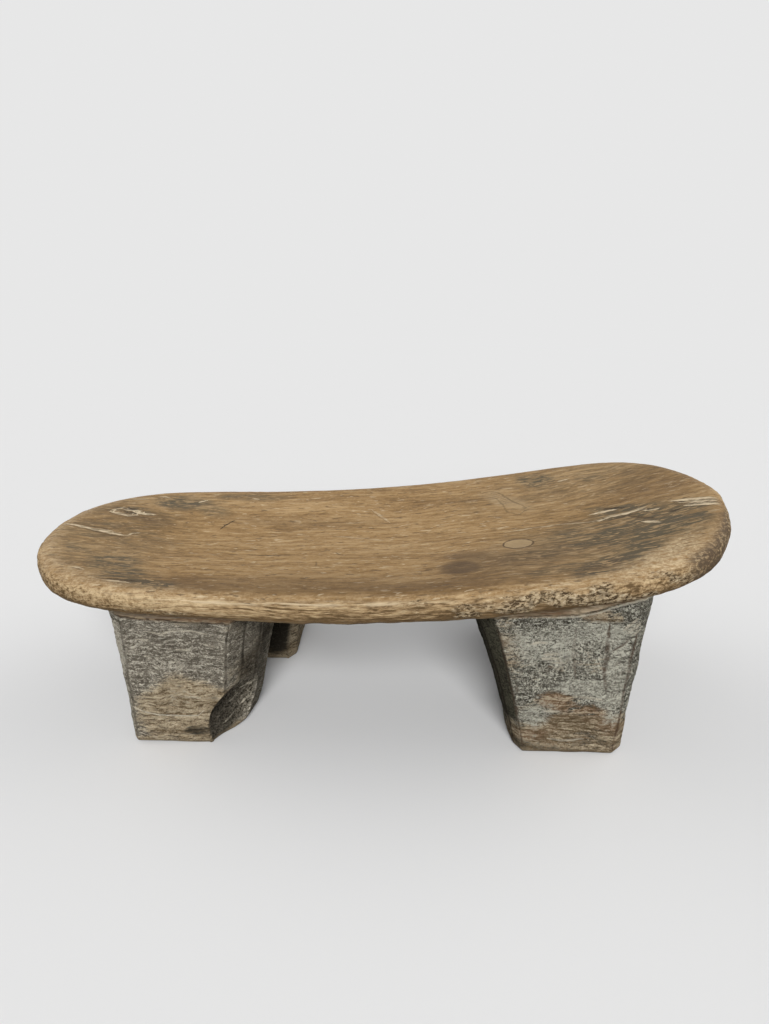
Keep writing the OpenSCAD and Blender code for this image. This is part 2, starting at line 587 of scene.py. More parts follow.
def line_fields(label: str, lines: Sequence[Line], x: Array, y: Array) -> dict[str, Array]:
    """Fields from which a material draws lines finer than the mesh.

    Each place takes its nearest stretch of line. The signed distance to it is straight across
    the line, so it is exact between the mesh's points as well.

    Args:
        label: Start of the fields' names.
        lines: The lines.
        x: First of the lines' two coordinates at each place.
        y: Second of them.

    Returns:
        The signed and the plain distance in millimetres, the half width, which narrows towards
        the line's ends, and the strength.
    """
    east, north = x / MM, y / MM
    near = np.full(x.shape, np.inf)
    across, width, strength = (np.zeros(x.shape) for _ in range(3))
    for line in lines:
        corners = np.array(line.points, float)
        steps = np.diff(corners, axis=0)
        lengths = np.linalg.norm(steps, axis=1)
        run = np.r_[0.0, np.cumsum(lengths)]
        for start, step, length, before in zip(corners, steps, lengths, run):
            unit = step / length
            along = (east - start[0]) * unit[0] + (north - start[1]) * unit[1]
            off = (north - start[1]) * unit[0] - (east - start[0]) * unit[1]
            gap = np.hypot(off, along - np.clip(along, 0.0, length))
            share = np.clip((before + along) / run[-1], 0.0, 1.0)
            closer = gap < near
            near = np.where(closer, gap, near)
            across = np.where(closer, off, across)
            taper = np.clip(4.0 * share * (1.0 - share), 0.0, 1.0) ** 0.35
            width = np.where(closer, line.half_width * taper, width)
            strength = np.where(closer, line.strength, strength)
    fields = {
        "across": np.clip(across, -FAR, FAR),
        "near": np.clip(near, 0.0, FAR),
        "width": width,
        "strength": strength,
    }
    return {f"{label}_{name}": values for name, values in fields.items()}


class Grain:
    """Adds nodes to one material or world and joins them."""

    def __init__(self, owner: bpy.types.Material | bpy.types.World) -> None:
        """Starts the owner's nodes afresh, with Object coordinates.

        Args:
            owner: The material or world.
        """
        owner.use_nodes = True
        self.owner = owner
        self.tree = owner.node_tree
        self.tree.nodes.clear()
        self.place = self.node("ShaderNodeTexCoord").outputs["Object"]

    def node(self, kind: str, inputs: dict | None = None, **settings: object) -> bpy.types.Node:
        """Adds a node.

        Args:
            kind: Blender's name of the node type.
            inputs: Values or sockets for its inputs, by name or index.
            settings: The node's own properties.

        Returns:
            The node.
        """
        made = self.tree.nodes.new(kind)
        for key, value in settings.items():
            setattr(made, key, value)
        for key, value in (inputs or {}).items():
            if isinstance(value, Socket):
                self.tree.links.new(value, made.inputs[key])
            else:
                made.inputs[key].default_value = value
        return made

    def math(self, operation: str, *values: float | Socket, clamp: bool = False) -> Socket:
        """Joins one to three numbers with a Math node."""
        inputs = dict(enumerate(values))
        return self.node("ShaderNodeMath", inputs, operation=operation, use_clamp=clamp).outputs[0]

    def times(self, *values: float | Socket) -> Socket:
        """Multiplies numbers."""
        return reduce(lambda one, other: self.math("MULTIPLY", one, other), values)

    def most(self, *values: float | Socket) -> Socket:
        """Largest of several numbers."""
        return reduce(lambda one, other: self.math("MAXIMUM", one, other), values)

    def centred(self, value: Socket, width: float) -> Socket:
        """Moves a number about 0.5 to about 0, and widens it."""
        return self.times(self.math("SUBTRACT", value, 0.5), width)

    def vector(self, operation: str, *values: Triple | Socket) -> Socket:
        """Joins vectors with a Vector Math node."""
        inputs = dict(enumerate(values))
        return self.node("ShaderNodeVectorMath", inputs, operation=operation).outputs[0]

    def length(self, vector: Socket) -> Socket:
        """Length of a vector."""
        return self.node("ShaderNodeVectorMath", {0: vector}, operation="LENGTH").outputs["Value"]

    def total(self, *terms: tuple[Socket, float]) -> Socket:
        """Adds up numbers, each with its own weight.

        Args:
            terms: Pairs of a number and its weight.

        Returns:
            The sum.
        """
        added: Socket | None = None
        for value, weight in terms:
            part = self.times(value, weight)
            added = part if added is None else self.math("ADD", added, part)
        return added

    def field(self, label: str) -> Socket:
        """Reads one of the piece's own point attributes."""
        return self.node("ShaderNodeAttribute", attribute_name=label).outputs["Fac"]

    def noise(
        self,
        place: Socket,
        scale: Triple,
        detail: float = 3.0,
        rough: float = 0.55,
        twist: float = 0.0,
    ) -> Socket:
        """Noise with its own scale along each axis.

        Args:
            place: Coordinates.
            scale: Cells to the metre along x, y and z.
            detail: Count of octaves.
            rough: Strength of each octave against the one before.
            twist: How much the noise warps itself.

        Returns:
            The noise, from 0 to 1 about 0.5.
        """
        inputs = {"Vector": self.vector("MULTIPLY", place, scale), "Scale": 1.0, "Detail": detail}
        inputs |= {"Roughness": rough, "Distortion": twist}
        return self.node("ShaderNodeTexNoise", inputs).outputs[0]

    def swayed(self, place: Socket, scale: float, amount: Triple) -> Socket:
        """Coordinates pushed about by a slow noise, by up to half an amount along each axis.

        Args:
            place: Coordinates.
            scale: Cells to the metre.
            amount: Width of the sway along each axis.

        Returns:
            The swaying coordinates.
        """
        inputs = {"Vector": place, "Scale": scale, "Detail": 2.0}
        sway = self.node("ShaderNodeTexNoise", inputs).outputs[1]
        bend = self.vector("MULTIPLY", self.vector("SUBTRACT", sway, (0.5, 0.5, 0.5)), amount)
        return self.vector("ADD", place, bend)

    def step(
        self, value: Socket, low: float, high: float, start: float = 0.0, end: float = 1.0
    ) -> Socket:
        """Smooth step of a number from start at low to end at high.

        Args:
            value: The number.
            low: Where the step begins.
            high: Where it is done, which may be below low.
            start: Result at low.
            end: Result at high.

        Returns:
            The result.
        """
        inputs = {0: value, 1: low, 2: high, 3: start, 4: end}
        if low > high:
            inputs = {0: value, 1: high, 2: low, 3: end, 4: start}
        return self.node("ShaderNodeMapRange", inputs, interpolation_type="SMOOTHSTEP").outputs[0]

    def stripe(self, value: Socket, at: float, outer: float, inner: float) -> Socket:
        """1 where a number is near one value, and 0 past the outer distance from it."""
        return self.step(self.math("ABSOLUTE", self.math("SUBTRACT", value, at)), outer, inner)

    def mix(self, share: Socket, low: Colour | Socket, high: Colour | Socket) -> Socket:
        """Mixes two colours."""
        low, high = ((*c, 1.0) if isinstance(c, tuple) else c for c in (low, high))
        return self.node("ShaderNodeMix", {0: share, 6: low, 7: high}, data_type="RGBA").outputs[2]

    def coats(self, base: Colour | Socket, *coats: tuple[Socket, Colour | Socket]) -> Socket:
        """Lays colours over a base in turn, each with its own share."""
        return reduce(lambda below, coat: self.mix(coat[0], below, coat[1]), coats, base)

    def tones(self, value: Socket, stops: Sequence[tuple[float, Colour]]) -> Socket:
        """Colour ramp through the stops.

        Args:
            value: Place on the ramp.
            stops: Pairs of a place and its colour.

        Returns:
            The colour.
        """
        made = self.node("ShaderNodeValToRGB", {0: value})
        ramp = made.color_ramp
        while len(ramp.elements) < len(stops):
            ramp.elements.new(0.5)
        for element, (position, colour) in zip(ramp.elements, stops):
            element.position = position
            element.color = (*colour, 1.0)
        return made.outputs[0]

    def reach(self, middle: Triple, half: Triple, angle: float = 0.0) -> Socket:
        """Distance from the middle of an ellipsoid, where 1 is its surface.

        Args:
            middle: Its middle in millimetres.
            half: Its half widths in millimetres.
            angle: Its turn about the upright axis in degrees.

        Returns:
            The distance in half widths.
        """
        inputs = {
            "Vector": self.place,
            "Location": tuple(v * MM for v in middle),
            "Rotation": (0.0, 0.0, math.radians(angle)),
            "Scale": tuple(v * MM for v in half),
        }
        return self.length(self.node("ShaderNodeMapping", inputs, vector_type="TEXTURE").outputs[0])

    def lines(self, label: str, wobble: Socket, softness: float = 0.4) -> Socket:
        """Draws the lines that line_fields put on the mesh.

        Args:
            label: Start of the fields' names.
            wobble: Sideways shift of the lines in millimetres.
            softness: Share of the half width over which a line fades.

        Returns:
            Strengths from 0 to 1.
        """
        gap = self.math("ABSOLUTE", self.math("ADD", self.field(f"{label}_across"), wobble))
        width = self.math("MAXIMUM", self.field(f"{label}_width"), 0.01)
        shown = self.step(self.math("DIVIDE", gap, width), 1.0 + softness, 1.0 - softness)
        close = self.step(self.field(f"{label}_near"), 3.6, 2.6)
        return self.times(shown, close, self.field(f"{label}_strength"))

    def finish(
        self, colour: Socket, roughness: Socket, height: Socket, gloss: float
    ) -> bpy.types.Material:
        """Ends the material.

        Args:
            colour: Base colour.
            roughness: Roughness.
            height: Bump height in millimetres.
            gloss: Specular level.

        Returns:
            The material.
        """
        bump = self.node("ShaderNodeBump", {"Height": height, "Distance": MM, "Strength": 1.0})
        inputs = {"Base Color": colour, "Roughness": roughness, "Normal": bump.outputs[0]}
        surface = self.node("ShaderNodeBsdfPrincipled", inputs)
        surface.inputs["Specular IOR Level"].default_value = gloss
        self.node("ShaderNodeOutputMaterial", {"Surface": surface.outputs[0]})
        return self.owner


GREY_STAINS = [
    Mark((-181, -54), (20, 15), -10, 0.75, 0.6),
    Mark((-168, -68), (24, 10), -12, 0.70, 0.6),
    Mark((-146, -83), (22, 6), -5, 0.90, 0.5),
    Mark((-216, -32), (15, 8), -10, 0.50, 0.7),
    Mark((-165, 61), (26, 14), 0, 0.68, 0.6),
    Mark((-137, 50), (14, 9), -20, 0.65, 0.6),
    Mark((-110, 78), (30, 7), 0, 0.60, 0.6),
    Mark((-202, 40), (18, 9), 0, 0.60, 0.6),
    Mark((-205, 0), (46, 66), 0, 0.36, 0.8),
    Mark((158, -84), (29, 10.5), 21, 1.00, 0.35),
    Mark((183, -68), (20, 9), 26, 1.00, 0.5),
    Mark((222, -34), (13, 16), -20, 0.75, 0.6),
    Mark((122, -82), (26, 7), 8, 0.50, 0.7),
    Mark((181, -46), (38, 32), 30, 0.92, 0.7),
    Mark((199, -40), (30, 18), 58, 1.00, 0.6),
    Mark((188, -10), (30, 13), -10, 0.85, 0.6),
    Mark((180, 4.5), (20, 5), -20, 0.95, 0.5),
    Mark((163, -42), (66, 38), 12, 0.60, 0.8),
    Mark((132, 80), (18, 14), -50, 0.65, 0.6),
    Mark((175, 64), (16, 10), -20, 0.50, 0.7),
    Mark((170, 62), (80, 38), 10, 0.28, 0.8),
]
DARK_SMUDGES = [
    Mark((61.5, -65), (14.5, 12.5), -5, 0.95, 0.35),
    Mark((72, -48), (20, 9), -15, 0.62, 0.5),
    Mark((92, -57), (24, 9), 0, 0.40, 0.6),
    Mark((95, -60), (50, 20), 8, 0.50, 0.8),
    Mark((148, -87), (18, 6), 20, 0.55, 0.5),
    Mark((214, 28), (30, 26), 0, 0.30, 0.8),
    Mark((-60, -82), (110, 15), 0, 0.45, 0.8),
    Mark((40, -88), (80, 11), 3, 0.50, 0.8),
    Mark((-190, 28), (26, 5), -10, 0.50, 0.7),
    Mark((-60, 30), (60, 8), -4, 0.30, 0.8),
]
RAISED_SPLINTERS = [
    Line(((-217, 37.5), (-213, 42), (-209, 46.5)), 1.0, 0.9),
    Line(((-217, 35.7), (-208.5, 33.4), (-200, 31), (-193, 33)), 1.5),
    Line(((-198, 37.6), (-188, 35.8), (-180, 36.5)), 1.5),
    Line(((-208, 40.8), (-201, 40.4), (-193, 40.3)), 1.1, 0.9),
    Line(((-243, 8), (-230, 5.5), (-216.6, 1.2), (-202, -2.2), (-187.6, -3.3)), 1.4),
    Line(((-189, -3.3), (-186.7, 2.2), (-182, 4)), 0.9, 0.8),
    Line(((-216.5, 2.8), (-209, 2.4), (-201.6, 1.6)), 0.8, 0.7),
    Line(((-211, 64.5), (-203, 65), (-195.4, 66.5)), 0.9, 0.8),
    Line(((-190, 73), (-184, 72.5), (-179, 70.7)), 0.9, 0.8),
    Line(((-152.3, 64), (-146, 69)), 1.1),
    Line(((-109.5, 75.8), (-102.6, 73.6)), 0.9, 0.8),
    Line(((-205, -63), (-200, -63.5), (-195, -66)), 1.1, 0.8),
    Line(((-178, -79.6), (-168, -80.2), (-157, -82.5)), 0.9, 0.7),
    Line(((-4, 50), (4, 38), (11, 26.4)), 1.0, 0.5),
    Line(((-31, 6.7), (-11, 1.6), (8, -4)), 1.2, 0.3),
    Line(((96, -7.7), (118, -5), (139, -5.4), (159, -9.3), (166.6, -8)), 0.9, 0.6),
    Line(((162.6, -11), (172, -6.6), (184, -8), (198.4, -4.4)), 1.6),
    Line(((160.4, 3.5), (168, 3.9), (179.7, 3.2)), 1.4),
    Line(((190, -28), (194.7, -31), (199.6, -35)), 1.9, 0.95),
    Line(((194, -9), (199, -12), (206, -12)), 1.1, 0.8),
    Line(((215, -5), (224, -8.5), (236, -12.8), (248, -17)), 1.5),
    Line(((219, -11), (232, -16.5), (248, -22)), 1.4),
    Line(((220, -17), (232, -22), (247, -27)), 1.5),
    Line(((148, 70), (152, 71), (156.5, 72.3)), 1.1, 0.8),
]
# Dark hairline cracks and leaf outlines, and dark lines painted as shadow beside and between the raised
# splinters
DARK_HAIRLINES_AND_SHADOWS = [
    Line(((-122.6, 16.8), (-120.3, 23.8), (-117.5, 29.2), (-114.3, 33)), 0.6),
    Line(((-91, -27.7), (-74, -28.8), (-57, -27.4)), 0.9, 0.75),
    Line(((-26.7, -24), (-22.5, -29)), 0.8, 0.6),
    Line(((-39, -40), (-37.8, -49)), 0.6, 0.5),
    Line(
        ((85, 66), (91.7, 69.3), (99.4, 65), (102.7, 58), (109, 45), (116, 36), (118.8, 28.6)),
        0.9,
        0.45,
    ),
    Line(((89, 59.3), (96.5, 55), (101, 40.4), (102.6, 28.7), (110, 21.4), (118.8, 28.6)), 0.8, 0.35),
    Line(((-208, 38), (-201, 36.5), (-194, 36)), 1.8, 0.8),
    Line(((-212, 44.5), (-203, 44), (-196, 44)), 1.5, 0.7),
    Line(((-216, -1.5), (-205, -5), (-190, -6.5)), 0.9, 0.7),
    Line(((-232, 8.8), (-218, 5.6), (-205, 4)), 1.0, 0.5),
    Line(((-182, -77.4), (-168.5, -77.5), (-160, -79.3), (-152.4, -80)), 1.1, 0.8),
    Line(((170, 8.5), (177, 6.5), (184.6, 2.1)), 1.6, 0.85),
    Line(((163, -14.5), (179, -12.5), (192, -10.5)), 0.9, 0.7),
    Line(((184.4, -14), (191, -20), (198, -26)), 1.7, 0.7),
    Line(((207, -20), (212.3, -22), (217, -20)), 1.4, 0.8),
    Line(((196, -4), (199, -8), (196, -14), (200, -19)), 0.8, 0.7),
    Line(((217, -8), (230, -13.7), (247, -19.5)), 1.1, 0.9),
    Line(((219, -14), (232, -19.3), (247, -24.5)), 1.1, 0.8),
]
DRY_SPOTS = [
    Mark((104, 47), (24, 8), -48, 0.8, 0.4),
    Mark((94, 64), (9, 5), 10, 0.6, 0.5),
    Mark((234, -14), (15, 4), -22, 0.45, 0.5),
]
WATER_RING = Mark((103.8, -31.2), (10.4, 8.8), 0.0)


@dataclass(frozen=True)
class SeatWood:
    """Smooth worn seat: warm brown with lengthwise grain, grey stains and a paler, rougher edge."""

    patina: Colour = (0.190, 0.112, 0.046)
    worn: Colour = (0.325, 0.203, 0.090)
    rubbed: Colour = (0.450, 0.305, 0.155)
    dry: Colour = (0.430, 0.315, 0.180)
    golden: Colour = (0.430, 0.305, 0.172)
    straw: Colour = (0.660, 0.520, 0.325)
    grey: Colour = (0.110, 0.088, 0.056)
    # Dark colour of smudges, pores and the water ring, also used for the painted shadows beside the
    # splinters
    smudge_and_shadow: Colour = (0.098, 0.064, 0.038)
    # Pale splinters and flecks; the same colour paints the highlight along the front crest
    splinter_and_highlight: Colour = (0.640, 0.520, 0.350)
    edge_low: Colour = (0.150, 0.095, 0.046)
    edge_mid: Colour = (0.390, 0.262, 0.134)
    edge_high: Colour = (0.640, 0.480, 0.280)
    under: Colour = (0.300, 0.225, 0.140)
    end_brown: Colour = (0.120, 0.084, 0.053)
    crack: Colour = (0.088, 0.058, 0.034)
    # Darkest colour: dirt in the pits, and the dark hairlines, many of which are painted shadow
    pit_and_shadow: Colour = (0.045, 0.030, 0.018)
    gloss: float = 0.08

    def fibre_place(self, g: Grain, form: SeatForm) -> Socket:
        """Coordinates that follow the seat's rise, swaying gently along the grain.

        Args:
            g: The material's nodes.
            form: The seat.

        Returns:
            The coordinates.
        """
        x, y, z = g.node("ShaderNodeSeparateXYZ", {0: g.place}).outputs
        run = g.most(g.math("ADD", x, form.lowest_offset), 0.0)
        reach = g.math("DIVIDE", run, form.half_length + form.lowest_offset)
        rise = g.times(g.math("POWER", reach, form.rise_powers[1]), form.right_rise)
        level = g.math("SUBTRACT", z, rise)
        flat = g.node("ShaderNodeCombineXYZ", {0: x, 1: y, 2: level}).outputs[0]
        return g.swayed(flat, 9.0, (0.0, 0.022, 0.014))

    def material(self, form: SeatForm) -> bpy.types.Material:
        """Builds the material.

        Grain comes first, then stains, the ring and drawn marks on the top, and then the edge, with
        painted shade, shadows and highlights among them.

        Args:
            form: The seat, whose rise the grain follows.

        Returns:
            The material.
        """
        g = Grain(bpy.data.materials.new("worn seat wood"))
        place = self.fibre_place(g, form)
        broad = g.noise(place, (5, 18, 30))
        streak = g.noise(place, (11, 130, 200), 4, 0.62)
        grain = g.noise(place, (36, 280, 340), 4, 0.68, 0.25)
        dash = g.noise(place, (105, 360, 480), 3, 0.62, 0.5)
        sand = g.noise(place, (420, 420, 480), 3, 0.62, 0.6)
        fleck = g.noise(place, (110, 480, 640), 2, 0.6, 0.4)
        pores = g.step(g.noise(place, (110, 480, 800), 2, 0.6), 0.40, 0.31)
        tone = g.total((broad, 0.38), (streak, 0.26), (grain, 0.38), (dash, 0.26), (sand, 0.14))
        brown = g.tones(tone, [(0.605, self.patina), (0.710, self.worn), (0.820, self.rubbed)])
        sandy = g.total((sand, 0.60), (dash, 0.45), (grain, 0.15))
        golden = g.tones(sandy, [(0.470, self.worn), (0.585, self.golden), (0.740, self.straw)])
        glow = g.field("glow")
        # Darker strip inside the front crest: partly painted shade, partly patina
        shade = g.times(g.field("shade"), g.step(grain, 0.64, 0.42, 0.45, 0.85))
        colour = g.coats(
            brown,
            (glow, golden),
            (shade, self.patina),
            (g.step(fleck, 0.62, 0.70, 0.0, 0.60), self.splinter_and_highlight),
            (g.times(pores, 0.62), self.smudge_and_shadow),
        )

        top = g.field("top")
        wobble = g.centred(g.noise(g.place, (230, 230, 230)), 2.4)
        torn_up = g.noise(place, (70, 260, 320), 4, 0.75)
        ragged = g.step(torn_up, 0.37, 0.56, 0.60, 1.3)
        patchy = g.step(g.noise(place, (26, 70, 90)), 0.36, 0.60, 0.75, 1.25)
        fibres = g.step(grain, 0.62, 0.44, 0.55, 1.35)
        calm = g.math("SUBTRACT", 1.0, g.times(glow, 0.8))
        stain = g.times(g.field("grey"), patchy, ragged, top, calm, fibres)
        dark = g.times(g.field("smudge_and_shadow"), g.step(torn_up, 0.36, 0.52, 0.80, 1.1), top)
        raised = g.times(g.step(fleck, 0.54, 0.63, 0.0, 0.75), g.math("MINIMUM", stain, 1.0))
        reach = g.reach((*WATER_RING.middle, 0.0), (*WATER_RING.half, ENDLESS), WATER_RING.angle)
        reach = g.math("ADD", reach, g.times(wobble, 0.12))
        ring_line = g.times(g.stripe(reach, 1.0, 0.10, 0.03), top)
        inside = g.most(g.step(reach, 1.0, 0.9), g.field("pale"))
        # Dark hairlines on the top; many are painted shadow beside the splinters
        hair_and_shadow = g.times(g.lines("hair_and_shadow", wobble), top, g.step(dash, 0.38, 0.5, 0.45, 1.0))
        # Painted shadow beside each raised splinter, drawn in a dark colour
        shadow = g.lines("torn", g.math("ADD", wobble, 1.3), 0.7)
        torn = g.times(g.lines("torn", wobble), g.step(dash, 0.42, 0.54, 0.4, 1.0), top)
        colour = g.coats(
            colour,
            (g.math("MULTIPLY", stain, 0.96, clamp=True), self.grey),
            (g.math("MULTIPLY", dark, 0.85, clamp=True), self.smudge_and_shadow),
            (raised, self.rubbed),
            (g.times(inside, top, 0.6), self.dry),
            (g.times(ring_line, 0.85), self.smudge_and_shadow),
            (g.times(hair_and_shadow, 0.92), self.pit_and_shadow),
            (g.times(shadow, top, g.step(grain, 0.40, 0.55, 0.1, 0.7)), self.smudge_and_shadow),
            (torn, self.splinter_and_highlight),
        )

        rim = g.field("rim")
        below = g.field("below")
        rough = g.field("rough")
        sandiness = g.field("sandy")
        chip = g.noise(place, (120, 560, 700), 4, 0.70, 0.5)
        thread = g.noise(place, (24, 430, 560), 4, 0.66)
        speck = g.noise(place, (300, 560, 560), 4, 0.70, 0.6)
        threads = g.times(thread, g.math("SUBTRACT", 1.0, sandiness))
        weave = g.math("ADD", threads, g.times(sand, sandiness))
        # The light field shifts the edge's tone along the seat, and paints light at the crest and shade
        # towards the underside
        light = (g.field("light"), 0.05)
        edge_tone = g.total((weave, 0.46), (chip, 0.36), (dash, 0.24), (broad, 0.16), light)
        edge_stops = [(0.535, self.edge_low), (0.612, self.edge_mid), (0.705, self.edge_high)]
        under = g.mix(g.step(chip, 0.38, 0.58), self.edge_low, self.under)
        crumbs = g.tones(speck, [(0.430, self.crack), (0.505, self.dry), (0.610, self.splinter_and_highlight)])
        fringe = g.math("ADD", rough, g.centred(chip, 2.0))
        crumbly = g.times(g.step(fringe, 0.10, 0.80, 0.0, 0.95), g.step(rough, 0.0, 0.2))
        colour = g.coats(
            colour,
            (rim, g.tones(edge_tone, edge_stops)),
            (g.times(g.field("end"), g.step(sand, 0.62, 0.46, 0.45, 1.0)), self.end_brown),
            # Pale line along the front crest: rubbed wear and a painted highlight
            (g.times(g.field("crest_wear_and_highlight"), g.step(thread, 0.42, 0.56), 0.8), self.splinter_and_highlight),
            (g.times(below, 0.9), under),
            (crumbly, crumbs),
            (g.times(g.field("hollow"), 0.8), self.pit_and_shadow),
        )

        holes = g.times(g.step(speck, 0.44, 0.40), crumbly)
        worn_edge = g.most(rim, below)
        shine = g.step(streak, 0.35, 0.65, 0.50, 0.62)
        roughness = g.math("ADD", shine, g.times(worn_edge, 0.22), clamp=True)
        height = g.total(
            (grain, 0.60),
            (dash, 0.45),
            (streak, 0.25),
            (pores, -0.18),
            (torn, 0.4),
            (hair_and_shadow, -0.35),
            (ring_line, -0.12),
            (g.times(worn_edge, chip), 1.3),
            (g.times(rough, speck), 0.9),
            (holes, -0.5),
        )
        return g.finish(colour, roughness, height, self.gloss)


@dataclass(frozen=True)
class Patch:
    """Soft patch in three dimensions on a leg, in millimetres."""

    middle: Triple
    half: Triple
    strength: float = 1.0
    softness: float = 0.5


@dataclass(frozen=True)
class LegWood:
    """Weathered leg: speckled grey with grain across the leg, and browner where it is rubbed."""

    name: str
    tan_patches: tuple[Patch, ...]
    dark_patches: tuple[Patch, ...] = ()
    pale_patches: tuple[Patch, ...] = ()
    brown_patches: tuple[Patch, ...] = ()
    # Patches on the inner faces: partly painted shade, partly dark patina
    inner_shade_patches: tuple[Patch, ...] = ()
    deep: Colour = (0.105, 0.091, 0.070)
    mid: Colour = (0.252, 0.224, 0.176)
    pale: Colour = (0.610, 0.565, 0.465)
    tan_deep: Colour = (0.125, 0.088, 0.050)
    tan_mid: Colour = (0.360, 0.282, 0.180)
    tan_pale: Colour = (0.600, 0.500, 0.350)
    brown: Colour = (0.200, 0.122, 0.070)
    shoulder: Colour = (0.250, 0.200, 0.145)
    # Pale colour of scratches and nicks, also of the highlight painted along the lip
    lip: Colour = (0.620, 0.560, 0.440)
    # Darkest colour: dirt, and the painted shade in the hollow, in the grooves, on the inner faces and
    # at the root
    soot_and_shadow: Colour = (0.030, 0.025, 0.018)
    shade: Colour = (0.200, 0.175, 0.135)
    shaded: Colour = (0.118, 0.112, 0.078)
    tan_tear: float = 1.0
    blotches: float = 0.0
    speck_cells: Triple = (450, 450, 700)
    weights: tuple[float, float, float, float] = (0.58, 0.40, 0.10, 0.17)
    spread: float = 0.080
    # Dark colour of the creases and facet corners: painted shade in their grooves
    cleft_shade: Colour = (0.030, 0.025, 0.018)
    gloss: float = 0.05

    def zone(self, g: Grain, patches: Sequence[Patch], ragged: Socket, tear: float) -> Socket:
        """Share of the patches' colour at each place.

        Args:
            g: The material's nodes.
            patches: The patches, of which the strongest counts.
            ragged: Number about 0 that tears the patches' outlines.
            tear: How much it tears them.

        Returns:
            The share, from 0 to 1.
        """
        masks = []
        for patch in patches:
            low, high = 1.0 + patch.softness, 1.0 - patch.softness
            masks.append(g.step(g.reach(patch.middle, patch.half), low, high, 0.0, patch.strength))
        return g.step(g.total((g.most(*masks), 1.0), (ragged, tear)), 0.20, 0.80)

    def material(self) -> bpy.types.Material:
        """Builds the material.

        Patches are laid over the grey in turn, each broken up by the same specks and dashes, and paint
        shade on the inner faces. Then come the hollow with its painted shadow, clefts with painted
        shade, scratches, and the wood above the shoulder line with a painted highlight and shadow.

        Returns:
            The material.
        """
        g = Grain(bpy.data.materials.new(self.name))
        place = g.swayed(g.place, 26.0, (0.0, 0.004, 0.016))
        speck = g.noise(place, self.speck_cells, 3, 0.68, 1.4)
        dash = g.noise(place, (150, 150, 660), 3, 0.66, 0.6)
        streak = g.noise(place, (22, 28, 330), 4, 0.62)
        broad = g.noise(place, (24, 24, 34), 4, 0.6)
        nicks = g.noise(place, (520, 520, 520), 3, 0.7, 0.8)
        blotch = g.step(g.noise(place, (60, 60, 110), 4, 0.6), 0.52, 0.60, 0.0, 0.75)
        ragged = g.math("SUBTRACT", g.total((dash, 1.4), (speck, 0.5), (broad, 2.0)), 1.95)
        tone = g.total(*zip((speck, dash, streak, broad), self.weights))
        middle = 0.5 * sum(self.weights)
        stops = (middle + share * self.spread for share in (-1.1, 0.1, 0.95))
        colour = g.tones(tone, list(zip(stops, (self.deep, self.mid, self.pale))))
        tan_tone = g.total((speck, 0.36), (dash, 0.46), (streak, 0.30), (broad, 0.10))
        tan = g.tones(tan_tone, [(0.535, self.tan_deep), (0.61, self.tan_mid), (0.70, self.tan_pale)])
        tan = g.mix(g.times(blotch, self.blotches), tan, self.brown)
        brown = g.tones(tan_tone, [(0.53, self.tan_deep), (0.60, self.brown), (0.70, self.tan_pale)])
        pale = g.mix(g.step(tone, middle - 0.065, middle + 0.045), self.mid, self.pale)
        dark = g.mix(g.step(tone, middle, middle + 0.14), self.soot_and_shadow, self.shade)
        for layer, patches, tear in (
            (tan, self.tan_patches, self.tan_tear),
            (brown, self.brown_patches, 1.4),
            (pale, self.pale_patches, 1.0),
            (dark, self.dark_patches, 1.0),
        ):
            if patches:
                colour = g.mix(self.zone(g, patches, ragged, tear), colour, layer)
        inner = g.field("inner")
        # Inner faces darkened under the seat: partly painted shade, partly dark patina
        if self.inner_shade_patches:
            shaded = g.mix(g.step(tone, middle - 0.10, middle + 0.08), self.soot_and_shadow, self.shaded)
            share = g.times(self.zone(g, self.inner_shade_patches, ragged, 0.45), inner)
            colour = g.mix(share, colour, shaded)

        cut_colour = g.coats(
            g.tones(nicks, [(0.40, self.soot_and_shadow), (0.52, self.shade), (0.80, self.lip)]),
            # Left side of the hollow darkened: painted shadow
            (g.times(g.field("hollow_left_shadow"), 0.58), self.soot_and_shadow),
            (g.times(g.lines("nick", 0.0), g.step(nicks, 0.42, 0.52, 0.0, 0.75)), self.lip),
        )
        wander = g.centred(broad, 9.0)
        broken = g.total((speck, 0.5), (blotch, 0.12), (dash, 0.5))
        broken = g.step(broken, 0.47, 0.57, 0.15, 1.0)
        crease = g.times(g.lines("crease", wander, 0.6), broken)
        seam = g.times(g.lines("seam", g.times(wander, 0.7), 0.75), broken)
        # Dark lines over the cut grooves of creases and facet corners: painted shade
        cleft_shade = g.most(crease, seam)
        colour = g.coats(colour, (g.field("cut"), cut_colour), (cleft_shade, self.cleft_shade))
        # Grooves on the inner faces darkened further: painted shade
        if self.inner_shade_patches:
            colour = g.mix(g.times(g.lines("seam", 0.0, 0.75), inner), colour, self.soot_and_shadow)
        whole = g.math("MULTIPLY_ADD", broken, 0.4, 0.6)
        shoulder = g.field("shoulder")
        root = g.coats(
            self.brown,
            (g.step(streak, 0.40, 0.60), self.shoulder),
            (g.step(dash, 0.48, 0.60, 0.0, 0.8), self.tan_mid),
        )
        level = g.math("ADD", g.field("above"), g.centred(broad, 6.0))
        # Pale line painted as a highlight where the leg's top edge catches the light, just under the
        # shoulder line
        lip = g.times(g.stripe(level, -0.9, 0.95, 0.35), g.field("lip"))
